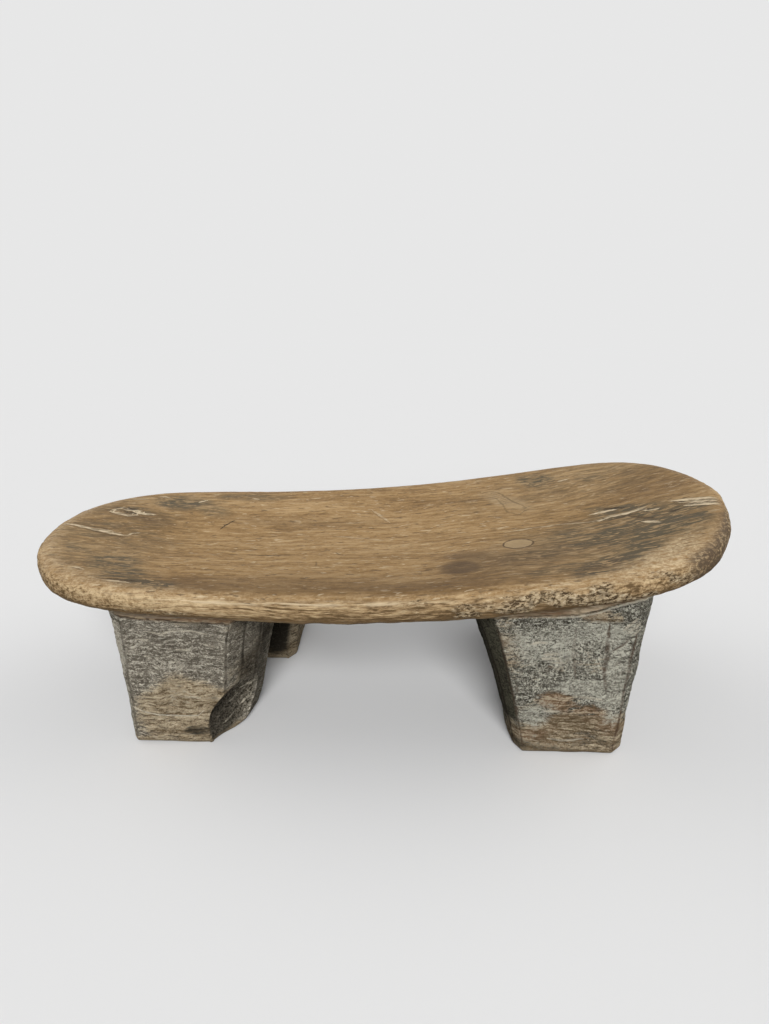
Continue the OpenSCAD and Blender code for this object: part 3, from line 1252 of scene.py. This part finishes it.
        # Dark line painted as shadow where the leg meets the seat's underside
        root_shadow = g.stripe(level, 0.7, 0.9, 0.3)
        colour = g.coats(
            colour,
            (g.times(g.lines("scratch", g.times(wander, 0.5)), whole), self.lip),
            (shoulder, root),
            (g.times(lip, g.step(dash, 0.36, 0.52, 0.3, 1.0)), self.lip),
            (g.times(root_shadow, g.step(dash, 0.62, 0.42, 0.2, 0.8)), self.soot_and_shadow),
            (g.times(g.field("hollow"), 0.75), self.deep),
            (g.times(g.field("sole"), 0.6), self.tan_mid),
        )
        roughness = g.math("SUBTRACT", 0.88, g.times(shoulder, 0.2))
        height = g.total((speck, 1.5), (dash, 0.9), (cleft_shade, -0.4))
        height = g.times(height, g.step(shoulder, 0.0, 1.0, 1.0, 0.3))
        return g.finish(colour, roughness, height, self.gloss)


def dress(piece: bpy.types.Object, node: str) -> None:
    """Puts a piece in place of its solid and reports it.

    Args:
        piece: The finished piece.
        node: The solid that it stands for.
    """
    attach(piece, "root")
    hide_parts(node)
    log.info("%s stands for %s with %d faces", piece.name, node, len(piece.data.polygons))


@dataclass(frozen=True)
class Seat:
    """The dished seat, worn along its edge and pitted towards the right of its front edge."""

    form: SeatForm
    wood: SeatWood
    swell: float = 0.35 * MM
    edge_wander: float = 0.55 * MM
    edge_grit: float = 0.22 * MM
    pit_depth: float = 0.8 * MM
    adze: float = 0.6 * MM
    light_along: Pairs = (
        (-0.25, -1.2), (-0.19, 0.6), (-0.12, 1.2), (-0.06, -0.2),
        (0.05, -0.6), (0.11, -0.5), (0.19, 0.0),
    )
    # Tone shift round the edge's section: painted light at the crest and painted shade towards the
    # underside
    painted_light_round: Pairs = ((-1.0, -2.6), (-0.6, -1.1), (-0.1, 0.0), (0.6, 0.5))
    golden_band: tuple[Triple, ...] = (
        (-0.25, 0.014, 0.45), (-0.18, 0.016, 0.60), (-0.12, 0.012, 0.50), (-0.06, 0.008, 0.30),
        (0.06, 0.008, 0.30), (0.11, 0.012, 0.40), (0.15, 0.016, 0.60), (0.18, 0.026, 1.00),
        (0.20, 0.026, 1.00), (0.22, 0.024, 0.35), (0.25, 0.020, 0.50),
    )

    def build(self) -> bpy.types.Object:
        """Builds the seat's piece.

        The top swells slowly, the edge wanders and has fine grit, and pits are cut where a short
        field passes a threshold inside the worn stretches of the edge.

        Returns:
            The piece.
        """
        skin, inset, rise = self.form.skin()
        place = skin.rings
        x, y = place[..., 0], place[..., 1]
        top = ease(rise, 0.80, 1.04)
        edge = ease(rise, -1.0, -0.6) * (1.0 - ease(rise, 0.62, 1.03))
        below = 1.0 - ease(rise, -0.95, -0.55)
        front = ease(y, -0.085, -0.1)
        ends = np.maximum(ease(x, -0.20, -0.245), ease(x, 0.205, 0.24))
        right_front = front * ease(x, 0.0, 0.09) * ease(x, 0.215, 0.18)
        under_left = front * ease(x, -0.09, -0.13) * ease(rise, 0.1, -0.5)
        side = ease(rise, 0.95, 0.60) * ease(rise, -0.85, -0.40)
        worn = np.maximum.reduce([right_front, 0.5 * ends, 0.7 * under_left]) * side
        blot = Grainfield(13).sample(place, (0.016, 0.02, 0.009), 2)
        rough = worn * ease(blot, -0.45, 0.45)
        short = Grainfield(11).sample(place, (3.2 * MM, 2.4 * MM, 2.0 * MM), 2)
        pits = ease(short + 0.55 * rough, 0.80, 1.20) * rough
        swell = Grainfield(3).sample(place, (0.055, 0.022, 0.03), 2) * top
        wander = Grainfield(5).sample(place, (0.03, 0.03, 0.02), 2)
        grit = Grainfield(7).sample(place, (5.0 * MM, 3.2 * MM, 2.4 * MM), 3)
        tools = Grainfield(9).sample(place, (0.02, 0.013, 0.02), 2)
        along, widths, strengths = np.array(self.golden_band).T
        width = np.interp(x, along, widths)
        band = ease(inset, 1.3 * width, 0.7 * width) * ease(rise, 0.2, 0.6)
        left = np.maximum(ease(y, 0.03, -0.03), ease(x, -0.20, -0.235))
        reached = np.where(x < 0, left, ease(y, -0.035, -0.065))
        band *= np.interp(x, along, strengths) * reached
        # Strip just inside the front crest, darkened in the patina colour: partly painted shade of the
        # slope, partly darker wood
        edge_strip = ease(inset, 0.030, 0.014) * top * ease(y, -0.02, -0.06)
        middle_strip = ease(x, -0.15, -0.10) * ease(x, 0.10, 0.05)
        end_face = ease(x, 0.192, 0.206) * ease(y, -0.02, -0.05) * ease(rise, 1.02, 0.80)
        sandy = np.maximum(ease(x, -0.09, -0.17), ease(x, 0.10, 0.17))
        # Tone shift of the edge along the seat, plus painted light and shade round its section
        light = np.interp(x, *np.array(self.light_along).T)
        light = light + np.interp(rise, *np.array(self.painted_light_round).T)
        rim_side = ease(np.abs(rise), 1.0, 0.5)
        distance = self.swell * swell + self.edge_wander * wander * edge
        distance += self.edge_grit * grit * (edge + 0.5 * below)
        distance += self.adze * tools * below - self.pit_depth * pits
        skin.move(distance)
        # Band along the front crest of the edge, for rubbed wear and a painted highlight
        crest_highlight_at = np.exp(-(((rise - 0.62) / 0.12) ** 2)) * front
        skin.fields = {
            "top": top,
            "rim": np.clip(ease(rise, -0.9, -0.3) * (1.0 - ease(rise, 0.62, 0.80)), 0, 1),
            "crest_wear_and_highlight": crest_highlight_at * ease(x, 0.09, 0.0) * rim_side,
            "below": below,
            "hollow": np.clip(pits * 0.6, 0.0, 1.0),
            "rough": np.clip(rough, 0.0, 1.0),
            "glow": band,
            "shade": 0.55 * edge_strip * middle_strip,
            "end": end_face,
            "sandy": sandy,
            "light": light,
            "grey": stain_field(GREY_STAINS, x, y),
            "smudge_and_shadow": stain_field(DARK_SMUDGES, x, y),
            "pale": stain_field(DRY_SPOTS, x, y),
            **line_fields("torn", RAISED_SPLINTERS, x, y),
            **line_fields("hair_and_shadow", DARK_HAIRLINES_AND_SHADOWS, x, y),
        }
        return skin.build("dished_seat", self.wood.material(self.form))


@dataclass(frozen=True)
class Leg:
    """One carved leg with its own wood."""

    name: str
    node: str
    form: LegForm
    wood: LegWood
    swell: float = 0.55 * MM
    grit: float = 0.22 * MM
    hack: float = 0.9 * MM
    groove: float = 0.4 * MM
    groove_width: float = 1.3
    step: float = 0.9 * MM
    root_flare: float = 5.0 * MM
    root_power: float = 2.2
    inner_corners: tuple[int, int] = (2, 6)
    # Strength of the pale line painted as a highlight along the leg's top edge, and where along x it
    # starts
    lip: float = 0.0
    lip_highlight_from: float = 0.112
    creases: tuple[Line, ...] = ()
    scratches: tuple[Line, ...] = ()
    nicks: tuple[Line, ...] = ()
    seams: tuple[tuple[int, float, float], ...] = ()

    def corner_run(self, corner: int) -> float:
        """Way round the leg to a corner of its facets, halfway up, in millimetres.

        Args:
            corner: Number of the corner, from the outer end of the outer face.

        Returns:
            The way.
        """
        corner_runs = self.form.corner_runs() / MM
        flipped = self.form.side.value * self.form.row.value < 0
        return corner_runs[len(corner_runs) - 2 - corner if flipped else corner]

    def seam_lines(self) -> list[Line]:
        """Dark lines along the facets' corners, as the way round the leg against the height.

        Returns:
            The lines.
        """
        lines = []
        for corner, half_width, strength in self.seams:
            run = self.corner_run(corner)
            points = ((run, 4.0), (run + 0.6, 40.0), (run - 0.5, 75.0), (run, 104.0))
            lines.append(Line(points, half_width, strength))
        return lines

    def build(self, seat: SeatForm) -> bpy.types.Object:
        """Builds the leg's piece.

        Creases and facet corners are cut as shallow grooves. Above the shoulder line the skin
        steps in, then flares out into the seat's underside.

        Args:
            seat: The seat that the leg carries.

        Returns:
            The piece.
        """
        form = self.form
        skin, cut = form.skin(seat)
        place = skin.rings
        x, z = place[..., 0], place[..., 2]
        keys = np.array(form.shoulder)
        drop = np.interp(x * form.side.value, keys[:, 0], keys[:, 1])
        above = (z - (seat.underside_z(x) - drop)) / drop
        wall = ease(z, 1.5 * MM, 4.0 * MM)
        facing = ease(skin.normals()[..., 1] * form.row.value, 0.35, 0.6) * (1.0 - cut)
        runs = np.broadcast_to(form.runs(), z.shape)
        drawn = line_fields("crease", self.creases, x, z)
        drawn |= line_fields("scratch", self.scratches, x, z)
        drawn |= line_fields("nick", self.nicks, x, z)
        drawn |= line_fields("seam", self.seam_lines(), runs, z)
        for label, shown in (("crease", facing), ("scratch", facing), ("seam", 1.0 - cut)):
            drawn[f"{label}_strength"] = drawn[f"{label}_strength"] * shown
        first, last = sorted(self.corner_run(corner) * MM for corner in self.inner_corners)
        inner = ease(runs, first - MM, first + MM) * ease(runs, last + MM, last - MM)
        grooves = [
            drawn[f"{label}_strength"] * np.exp(-((drawn[f"{label}_near"] / self.groove_width) ** 2))
            for label in ("crease", "seam")
        ]
        swell = Grainfield(form.seed).sample(place, (0.026, 0.026, 0.018), 2)
        grit = Grainfield(form.seed + 1).sample(place, (3.4 * MM, 3.4 * MM, 1.9 * MM), 2)
        hacks = Grainfield(form.seed + 2).sample(place, (0.009, 0.009, 0.007), 3)
        distance = (self.swell * swell + self.grit * grit + self.hack * hacks * cut) * wall
        distance -= self.groove * np.maximum(*grooves) * wall
        distance -= self.step * ease(above, -0.02, 0.14)
        distance += self.root_flare * np.clip(above, 0.0, 1.0) ** self.root_power
        skin.move(distance)
        skin.rings[..., 2] = np.maximum(skin.rings[..., 2], 0.0)
        skin.fields = {
            **drawn,
            "shoulder": ease(above, -0.03, 0.08),
            "above": np.clip(above * drop / MM, -9.0, 9.0),
            "lip": ease(x, self.lip_highlight_from, self.lip_highlight_from + 0.02) * self.lip,
            "cut": cut,
            # Left side of the hollow, where painted shadow goes
            "hollow_left_shadow": ease(x, -0.086, -0.107),
            "hollow": ease(grit, -0.55, -0.95) * 0.5 * wall,
            "sole": ease(z, 5.0 * MM, 0.5 * MM),
            "inner": inner,
        }
        return skin.build(self.name, self.wood.material())


SOFT_FACETS = (
    (
        (0, 0.13), (0.06, 0), (0.768, 0.015), (0.85, 0.2), (0.943, 0.38),
        (1, 0.68), (0.93, 1), (0.12, 1), (0.02, 0.9),
    ),
    (
        (0, 0.13), (0.09, 0), (0.768, 0.015), (0.86, 0.2), (0.943, 0.38),
        (1, 0.68), (0.93, 1), (0.12, 1), (0.02, 0.9),
    ),
)
SQUARE_FACETS = (
    (
        (0, 0.09), (0.085, 0), (0.9, 0), (0.97, 0.12), (1, 0.3),
        (1, 0.8), (0.93, 1), (0.12, 1), (0.02, 0.9),
    ),
    (
        (0, 0.09), (0.06, 0), (0.865, 0), (0.96, 0.15), (1, 0.35),
        (1, 0.8), (0.93, 1), (0.12, 1), (0.02, 0.9),
    ),
)
PARED_FACETS = (
    (
        (0, 0.11), (0.1, 0), (0.9, 0), (0.96, 0.09), (1, 0.18),
        (1, 0.88), (0.94, 1), (0.12, 1), (0.02, 0.9),
    ),
    (
        (0, 0.11), (0.1, 0), (0.9, 0), (0.96, 0.09), (1, 0.18),
        (1, 0.72), (0.6, 1), (0.12, 1), (0.02, 0.9),
    ),
)
LEFT_SHOULDER = (
    (0.05, 0.009), (0.0935, 0.0115), (0.127, 0.0103),
    (0.1475, 0.0097), (0.161, 0.0084), (0.177, 0.0062),
)
RIGHT_SHOULDER = (
    (0.065, 0.006), (0.086, 0.0072), (0.105, 0.0097), (0.118, 0.0113),
    (0.133, 0.0120), (0.149, 0.0106), (0.1605, 0.0079), (0.173, 0.0064), (0.19, 0.006),
)


def left_leg(row: Row) -> LegForm:
    """Form of a left leg; the front one is worn inside and hollowed at its inner corner.

    Args:
        row: Front or back.

    Returns:
        The form.
    """
    front = row is Row.FRONT
    return LegForm(
        Side.LEFT,
        row,
        foot=(0.172, 0.090 if front else 0.083),
        head=(0.180, 0.066),
        head_reach=0.082,
        flares=(1.6, 0.8 if front else 1.6),
        facets=SOFT_FACETS if front else PARED_FACETS,
        shoulder=LEFT_SHOULDER,
        seed=21 if front else 51,
        foot_round=4.2 * MM,
        hollow_middle=(-0.050, -0.108, 0.008) if front else None,
    )


def right_leg(row: Row) -> LegForm:
    """Form of a right leg.

    Args:
        row: Front or back.

    Returns:
        The form.
    """
    return LegForm(
        Side.RIGHT,
        row,
        foot=(0.177, 0.100),
        head=(0.184, 0.065),
        head_reach=0.095,
        flares=(1.2, 1.2),
        facets=SQUARE_FACETS,
        shoulder=RIGHT_SHOULDER,
        seed=31 if row is Row.FRONT else 41,
    )


FRONT_LEFT_CREASES = (
    Line(((-128, 12), (-118, 11.5), (-106, 13)), 1.1, 0.8),
    Line(((-138, 8), (-130, 7.5), (-120, 8.5)), 1.0, 0.6),
    Line(((-150, 33), (-143, 31.5), (-137, 32)), 0.9, 0.5),
    Line(((-153, 62), (-146, 61), (-138, 62)), 0.7, 0.5),
    Line(((-106, 44), (-102, 48), (-99, 52)), 0.8, 0.6),
)
FRONT_LEFT_SCRATCHES = (
    Line(((-167, 31), (-158, 26.5), (-148, 24.5), (-136.5, 23.5), (-120.6, 24), (-116, 29)), 0.6, 0.95),
    Line(((-153, 90), (-141, 87), (-135, 90), (-120, 91), (-109, 88)), 0.8, 0.7),
    Line(((-159, 84), (-150, 83)), 0.8, 0.6),
    Line(((-132, 76), (-122, 75.5)), 0.9, 0.6),
    Line(((-155, 71), (-148, 71.5)), 0.8, 0.5),
    Line(((-141, 98), (-131, 99.5)), 0.9, 0.6),
    Line(((-112, 80), (-104, 78)), 0.8, 0.5),
    Line(((-160, 45), (-150, 43.5)), 0.9, 0.5),
    Line(((-128, 40), (-117, 39)), 0.8, 0.5),
)
FRONT_LEFT_NICKS = (
    Line(((-97, 31), (-93, 32), (-89, 34)), 0.8, 0.9),
    Line(((-104, 21), (-100.5, 24), (-97.5, 27.5)), 0.8, 0.8),
    Line(((-97, 15.5), (-92, 19.5), (-88, 23.5)), 1.0, 0.9),
    Line(((-90.5, 31), (-87, 33.5), (-84, 36.8)), 0.8, 0.9),
    Line(((-108, 9), (-104, 10), (-101, 12)), 0.7, 0.7),
    Line(((-95.5, 9.5), (-92, 12), (-88.5, 16)), 0.9, 0.8),
    Line(((-102, 36.5), (-95, 40), (-86, 43), (-77, 46.5)), 0.9, 0.8),
)
FRONT_RIGHT_CREASES = (
    Line(((157, 108), (157, 92), (157.5, 80), (158, 66), (160, 54)), 1.5, 0.85),
    Line(((135, 106), (135.5, 96), (136.5, 86), (137.5, 75), (139, 64)), 1.1, 0.6),
    Line(((160, 88), (166, 92), (171, 97)), 0.8, 0.7),
    Line(((162, 76), (168, 79)), 0.8, 0.6),
    Line(((160, 66), (168, 70), (172, 72)), 0.8, 0.6),
    Line(
        (
            (118.8, 73.8), (121, 75), (123.2, 73.6), (122.6, 70.8),
            (120, 70), (118.3, 71.6), (118.8, 73.8),
        ),
        0.8,
        0.9,
    ),
    Line(
        (
            (113.5, 49.5), (116, 50.2), (117.6, 48.4), (116.6, 46.3),
            (114.4, 46), (113.2, 47.6), (113.5, 49.5),
        ),
        0.6,
        0.7,
    ),
    Line(((100, 58), (101, 52)), 1.2, 0.6),
)
FRONT_RIGHT_SCRATCHES = (
    Line(((107, 92), (112, 93.5), (118, 93)), 0.9, 0.8),
    Line(((116, 84), (126, 85)), 1.0, 0.85),
    Line(((115, 80.5), (128, 81)), 1.0, 0.85),
    Line(((121, 77.5), (130, 77.8)), 0.8, 0.8),
    Line(((165, 103), (170, 108), (174, 113)), 1.0, 0.8),
    Line(((168, 101), (176, 109)), 0.9, 0.8),
    Line(((171, 99), (176, 104)), 0.8, 0.7),
    Line(((138, 50), (148, 49), (158, 47.5)), 1.1, 0.7),
    Line(((120, 37), (131, 36)), 1.0, 0.6),
    Line(((124, 13), (134, 11.5), (150, 13)), 0.8, 0.6),
)


def all_legs() -> list[Leg]:
    """The four legs with their woods.

    Returns:
        The legs, in the order in which they are built.
    """
    front_left = LegWood(
        "grey leg wood with a rubbed tan foot",
        tan_patches=(
            Patch((-128, -85, 26), (36, 34, 28), 1.0, 0.35),
            Patch((-130, -85, 0), (50, 50, 9), 0.8, 0.5),
            Patch((-120, -80, 104), (54, 40, 10), 0.34, 0.7),
            Patch((-88, -60, 74), (16, 40, 40), 0.36, 0.7),
        ),
        dark_patches=(
            Patch((-121, -88, 12), (12, 10, 4.5), 0.8, 0.5),
            Patch((-84, -60, 78), (13, 26, 50), 0.45, 0.5),
            Patch((-111, -86, 84), (16, 14, 28), 0.34, 0.7),
            # Painted shadow at the left side of the hollow
            Patch((-108, -79, 20), (6, 9, 26), 0.95, 0.4),
        ),
        pale_patches=(
            Patch((-90, -66, 20), (12, 12, 16), 0.45, 0.6),
            Patch((-176, -80, 60), (8, 16, 60), 0.60, 0.5),
        ),
    )
    front_right = LegWood(
        "pale speckled leg wood",
        tan_patches=(
            Patch((141, -88, 12), (48, 30, 25), 0.95, 0.5),
            Patch((139, -90, 26), (22, 14, 9), 1.50, 0.6),
            Patch((161, -92, 26), (12, 16, 14), 0.60, 0.6),
            Patch((112, -90, 36), (16, 18, 9), 0.45, 0.7),
            Patch((140, -80, 0), (60, 60, 10), 0.95, 0.5),
            Patch((152, -96, 113), (16, 14, 5), 0.70, 0.5),
            Patch((90, -92, 82), (12, 14, 40), 0.40, 0.7),
        ),
        brown_patches=(
            Patch((129, -92, 45), (12, 16, 9), 0.90, 0.5),
            Patch((143, -92, 39), (18, 18, 4.5), 0.85, 0.5),
            Patch((152, -92, 37), (12, 16, 6), 0.60, 0.5),
            Patch((112, -92, 17), (12, 14, 6), 0.55, 0.6),
            Patch((164, -92, 24), (9, 14, 7), 0.50, 0.6),
        ),
        dark_patches=(
            Patch((150, -90, 12), (12, 14, 4), 0.36, 0.6),
            Patch((104, -90, 4), (10, 14, 7), 0.40, 0.6),
            Patch((128, -90, 1), (30, 20, 7), 0.34, 0.6),
        ),
        # Painted shade on the inner faces under the seat, partly dark patina
        inner_shade_patches=(Patch((90, -60, 84), (60, 80, 62), 1.00, 0.12),),
        pale_patches=(
            Patch((148, -92, 57), (22, 16, 7), 1.00, 0.5),
            Patch((163, -92, 48), (10, 16, 8), 1.00, 0.5),
            Patch((114, -92, 33), (14, 14, 9), 0.70, 0.6),
            Patch((118, -92, 94), (24, 14, 18), 0.50, 0.6),
            Patch((140, -92, 101), (44, 16, 9), 0.75, 0.6),
            Patch((166, -92, 66), (8, 14, 34), 0.75, 0.5),
        ),
        deep=(0.060, 0.055, 0.043),
        mid=(0.208, 0.194, 0.156),
        pale=(0.595, 0.575, 0.476),
        shade=(0.062, 0.057, 0.043),
        shoulder=(0.560, 0.450, 0.310),
        tan_mid=(0.278, 0.212, 0.132),
        brown=(0.225, 0.140, 0.082),
        cleft_shade=(0.085, 0.052, 0.034),
        tan_tear=1.25,
        blotches=0.3,
        speck_cells=(540, 540, 650),
        weights=(0.84, 0.18, 0.06, 0.17),
    )
    # Darker greys than the other legs, as painted shade under the seat, with a painted shadow over the
    # front face
    shaded_back_left = LegWood(
        "grey leg wood at the back left",
        tan_patches=(Patch((-110, 55, 8), (60, 60, 60), 0.7, 0.5),),
        # Painted shadow of the seat and the front leg over the front face
        dark_patches=(Patch((-86, 17, 72), (27, 12, 60), 1.5, 0.3),),
        mid=(0.180, 0.155, 0.115),
        pale=(0.380, 0.345, 0.275),
        shade=(0.070, 0.060, 0.045),
    )
    back_right = LegWood(
        "grey leg wood at the back right",
        tan_patches=(Patch((150, 75, 12), (60, 60, 28), 0.8, 0.5),),
        dark_patches=(Patch((96, 40, 66), (16, 34, 56), 0.6, 0.4),),
        speck_cells=(400, 400, 500),
        weights=(0.62, 0.30, 0.08, 0.26),
    )
    soft_seams = ((1, 1.3, 0.75), (2, 1.1, 0.85), (3, 1.2, 0.9), (4, 1.2, 0.8))
    square_seams = ((1, 1.4, 0.85), (2, 1.3, 0.75), (3, 1.1, 0.85))
    pared_seams = (*square_seams, (6, 0.8, 0.9))
    return [
        Leg(
            "front_left_leg",
            "leg_front_left",
            left_leg(Row.FRONT),
            front_left,
            creases=FRONT_LEFT_CREASES,
            scratches=FRONT_LEFT_SCRATCHES,
            nicks=FRONT_LEFT_NICKS,
            seams=soft_seams,
        ),
        Leg(
            "front_right_leg",
            "leg_front_right",
            right_leg(Row.FRONT),
            front_right,
            lip=0.85,
            creases=FRONT_RIGHT_CREASES,
            scratches=FRONT_RIGHT_SCRATCHES,
            seams=square_seams,
        ),
        Leg("back_left_leg", "leg_back_left", left_leg(Row.BACK), shaded_back_left, seams=pared_seams),
        Leg("back_right_leg", "leg_back_right", right_leg(Row.BACK), back_right, seams=square_seams),
    ]


@dataclass(frozen=True)
class Studio:
    """Camera at the photograph's viewing angle, a pale floor and soft light."""

    eye: Triple = (0.031632, -0.504107, 0.354056)
    pitch: float = 22.486
    roll: float = 0.399
    yaw: float = -2.681
    lens: float = 25.7293
    pale: float = 0.80
    world_light: float = 0.30
    dark_band: Pair = (0.0, 0.45)
    floor_bounce: float = 0.05
    floor_half: float = 4.0
    floor_fade: Pair = (0.5, 1.6)

    def camera(self) -> None:
        """Makes the camera from its eye point, pitch, roll and yaw."""
        pitch, roll, yaw = (math.radians(v) for v in (self.pitch, self.roll, self.yaw))
        ahead = Vector((math.sin(yaw), math.cos(yaw), 0.0))
        forward = ahead * math.cos(pitch) - Vector((0.0, 0.0, math.sin(pitch)))
        level = Vector((math.cos(yaw), -math.sin(yaw), 0.0))
        down = forward.cross(level)
        right = level * math.cos(roll) + down * math.sin(roll)
        up = level * math.sin(roll) - down * math.cos(roll)
        turn = Matrix((right, up, -forward)).transposed().to_4x4()
        data = bpy.data.cameras.new("camera")
        data.lens, data.sensor_width = self.lens, 36.0
        data.clip_start, data.clip_end = 0.01, 50.0
        camera = add_object("camera", data)
        camera.matrix_world = Matrix.Translation(self.eye) @ turn
        bpy.context.scene.camera = camera

    def lamp(self, name: str, turn: float, height: float, strength: float, spread: float) -> None:
        """Adds a broad, even light from far away.

        Args:
            name: Name of the lamp.
            turn: Direction that it comes from, in degrees from the front towards the right.
            height: Its height above the floor in degrees.
            strength: Share of full light on a face turned to it.
            spread: Its width in degrees, which softens the shadows.
        """
        data = bpy.data.lights.new(name, "SUN")
        data.energy, data.angle = strength * math.pi, math.radians(spread)
        lamp = add_object(name, data)
        east, up = math.radians(turn), math.radians(height)
        ahead = Vector((-math.sin(east), math.cos(east), 0.0))
        aim = ahead * math.cos(up) - Vector((0.0, 0.0, math.sin(up)))
        lamp.rotation_euler = aim.to_track_quat("-Z", "Y").to_euler()

    def seen(self, g: Grain) -> Socket:
        """1 for rays that show the background: from the camera, or by gloss or glass."""
        path = g.node("ShaderNodeLightPath").outputs
        return g.most(*(path[f"Is {kind} Ray"] for kind in ("Camera", "Glossy", "Transmission")))

    def floor(self) -> None:
        """Lays the pale floor, which fades into the background far from the stool."""
        half = self.floor_half
        mesh = bpy.data.meshes.new("floor")
        corners = [(-half, -half, 0), (half, -half, 0), (half, half, 0), (-half, half, 0)]
        mesh.from_pydata(corners, [], [(0, 1, 2, 3)])
        g = Grain(bpy.data.materials.new("pale floor"))
        seen = self.seen(g)
        colour = g.mix(seen, (self.floor_bounce,) * 3, (self.pale,) * 3)
        matt = g.node("ShaderNodeBsdfDiffuse", {"Color": colour}).outputs[0]
        light = {"Color": (self.pale,) * 3 + (1.0,), "Strength": seen}
        glow = g.node("ShaderNodeEmission", light).outputs[0]
        far = g.step(g.length(g.place), *self.floor_fade)
        shell = g.node("ShaderNodeMixShader", {0: far, 1: matt, 2: glow}).outputs[0]
        g.node("ShaderNodeOutputMaterial", {"Surface": shell})
        mesh.materials.append(g.owner)
        floor = add_object("floor", mesh)

    def world(self) -> None:
        """Lights the stool softly from all round, with a plain pale background."""
        world = bpy.data.worlds.new("studio")
        bpy.context.scene.world = world
        g = Grain(world)
        way = g.node("ShaderNodeTexCoord").outputs["Generated"]
        up = g.node("ShaderNodeSeparateXYZ", {0: way}).outputs["Z"]
        sky = g.step(up, *self.dark_band, 0.0, self.world_light)
        span = {0: self.seen(g), 3: sky, 4: self.pale}
        strength = g.node("ShaderNodeMapRange", span).outputs[0]
        light = {"Color": (1.0, 1.0, 1.0, 1.0), "Strength": strength}
        back = g.node("ShaderNodeBackground", light).outputs[0]
        g.node("ShaderNodeOutputWorld", {0: back})

    def build(self) -> None:
        """Builds the whole studio."""
        self.camera()
        self.lamp("key lamp", 4.0, 33.0, 0.95, 30.0)
        self.lamp("right lamp", 112.0, 30.0, 0.20, 60.0)
        self.lamp("left lamp", -112.0, 30.0, 0.20, 60.0)
        self.floor()
        self.world()
        bpy.context.scene.view_settings.view_transform = "Standard"


def main() -> None:
    """Builds the studio, the seat and the legs, in that order."""
    logging.basicConfig(level=logging.INFO, format="%(message)s")
    Studio().build()
    form = SeatForm()
    dress(Seat(form, SeatWood()).build(), "seat")
    for leg in all_legs():
        dress(leg.build(form), leg.node)


if __name__ == "__main__":
    main()
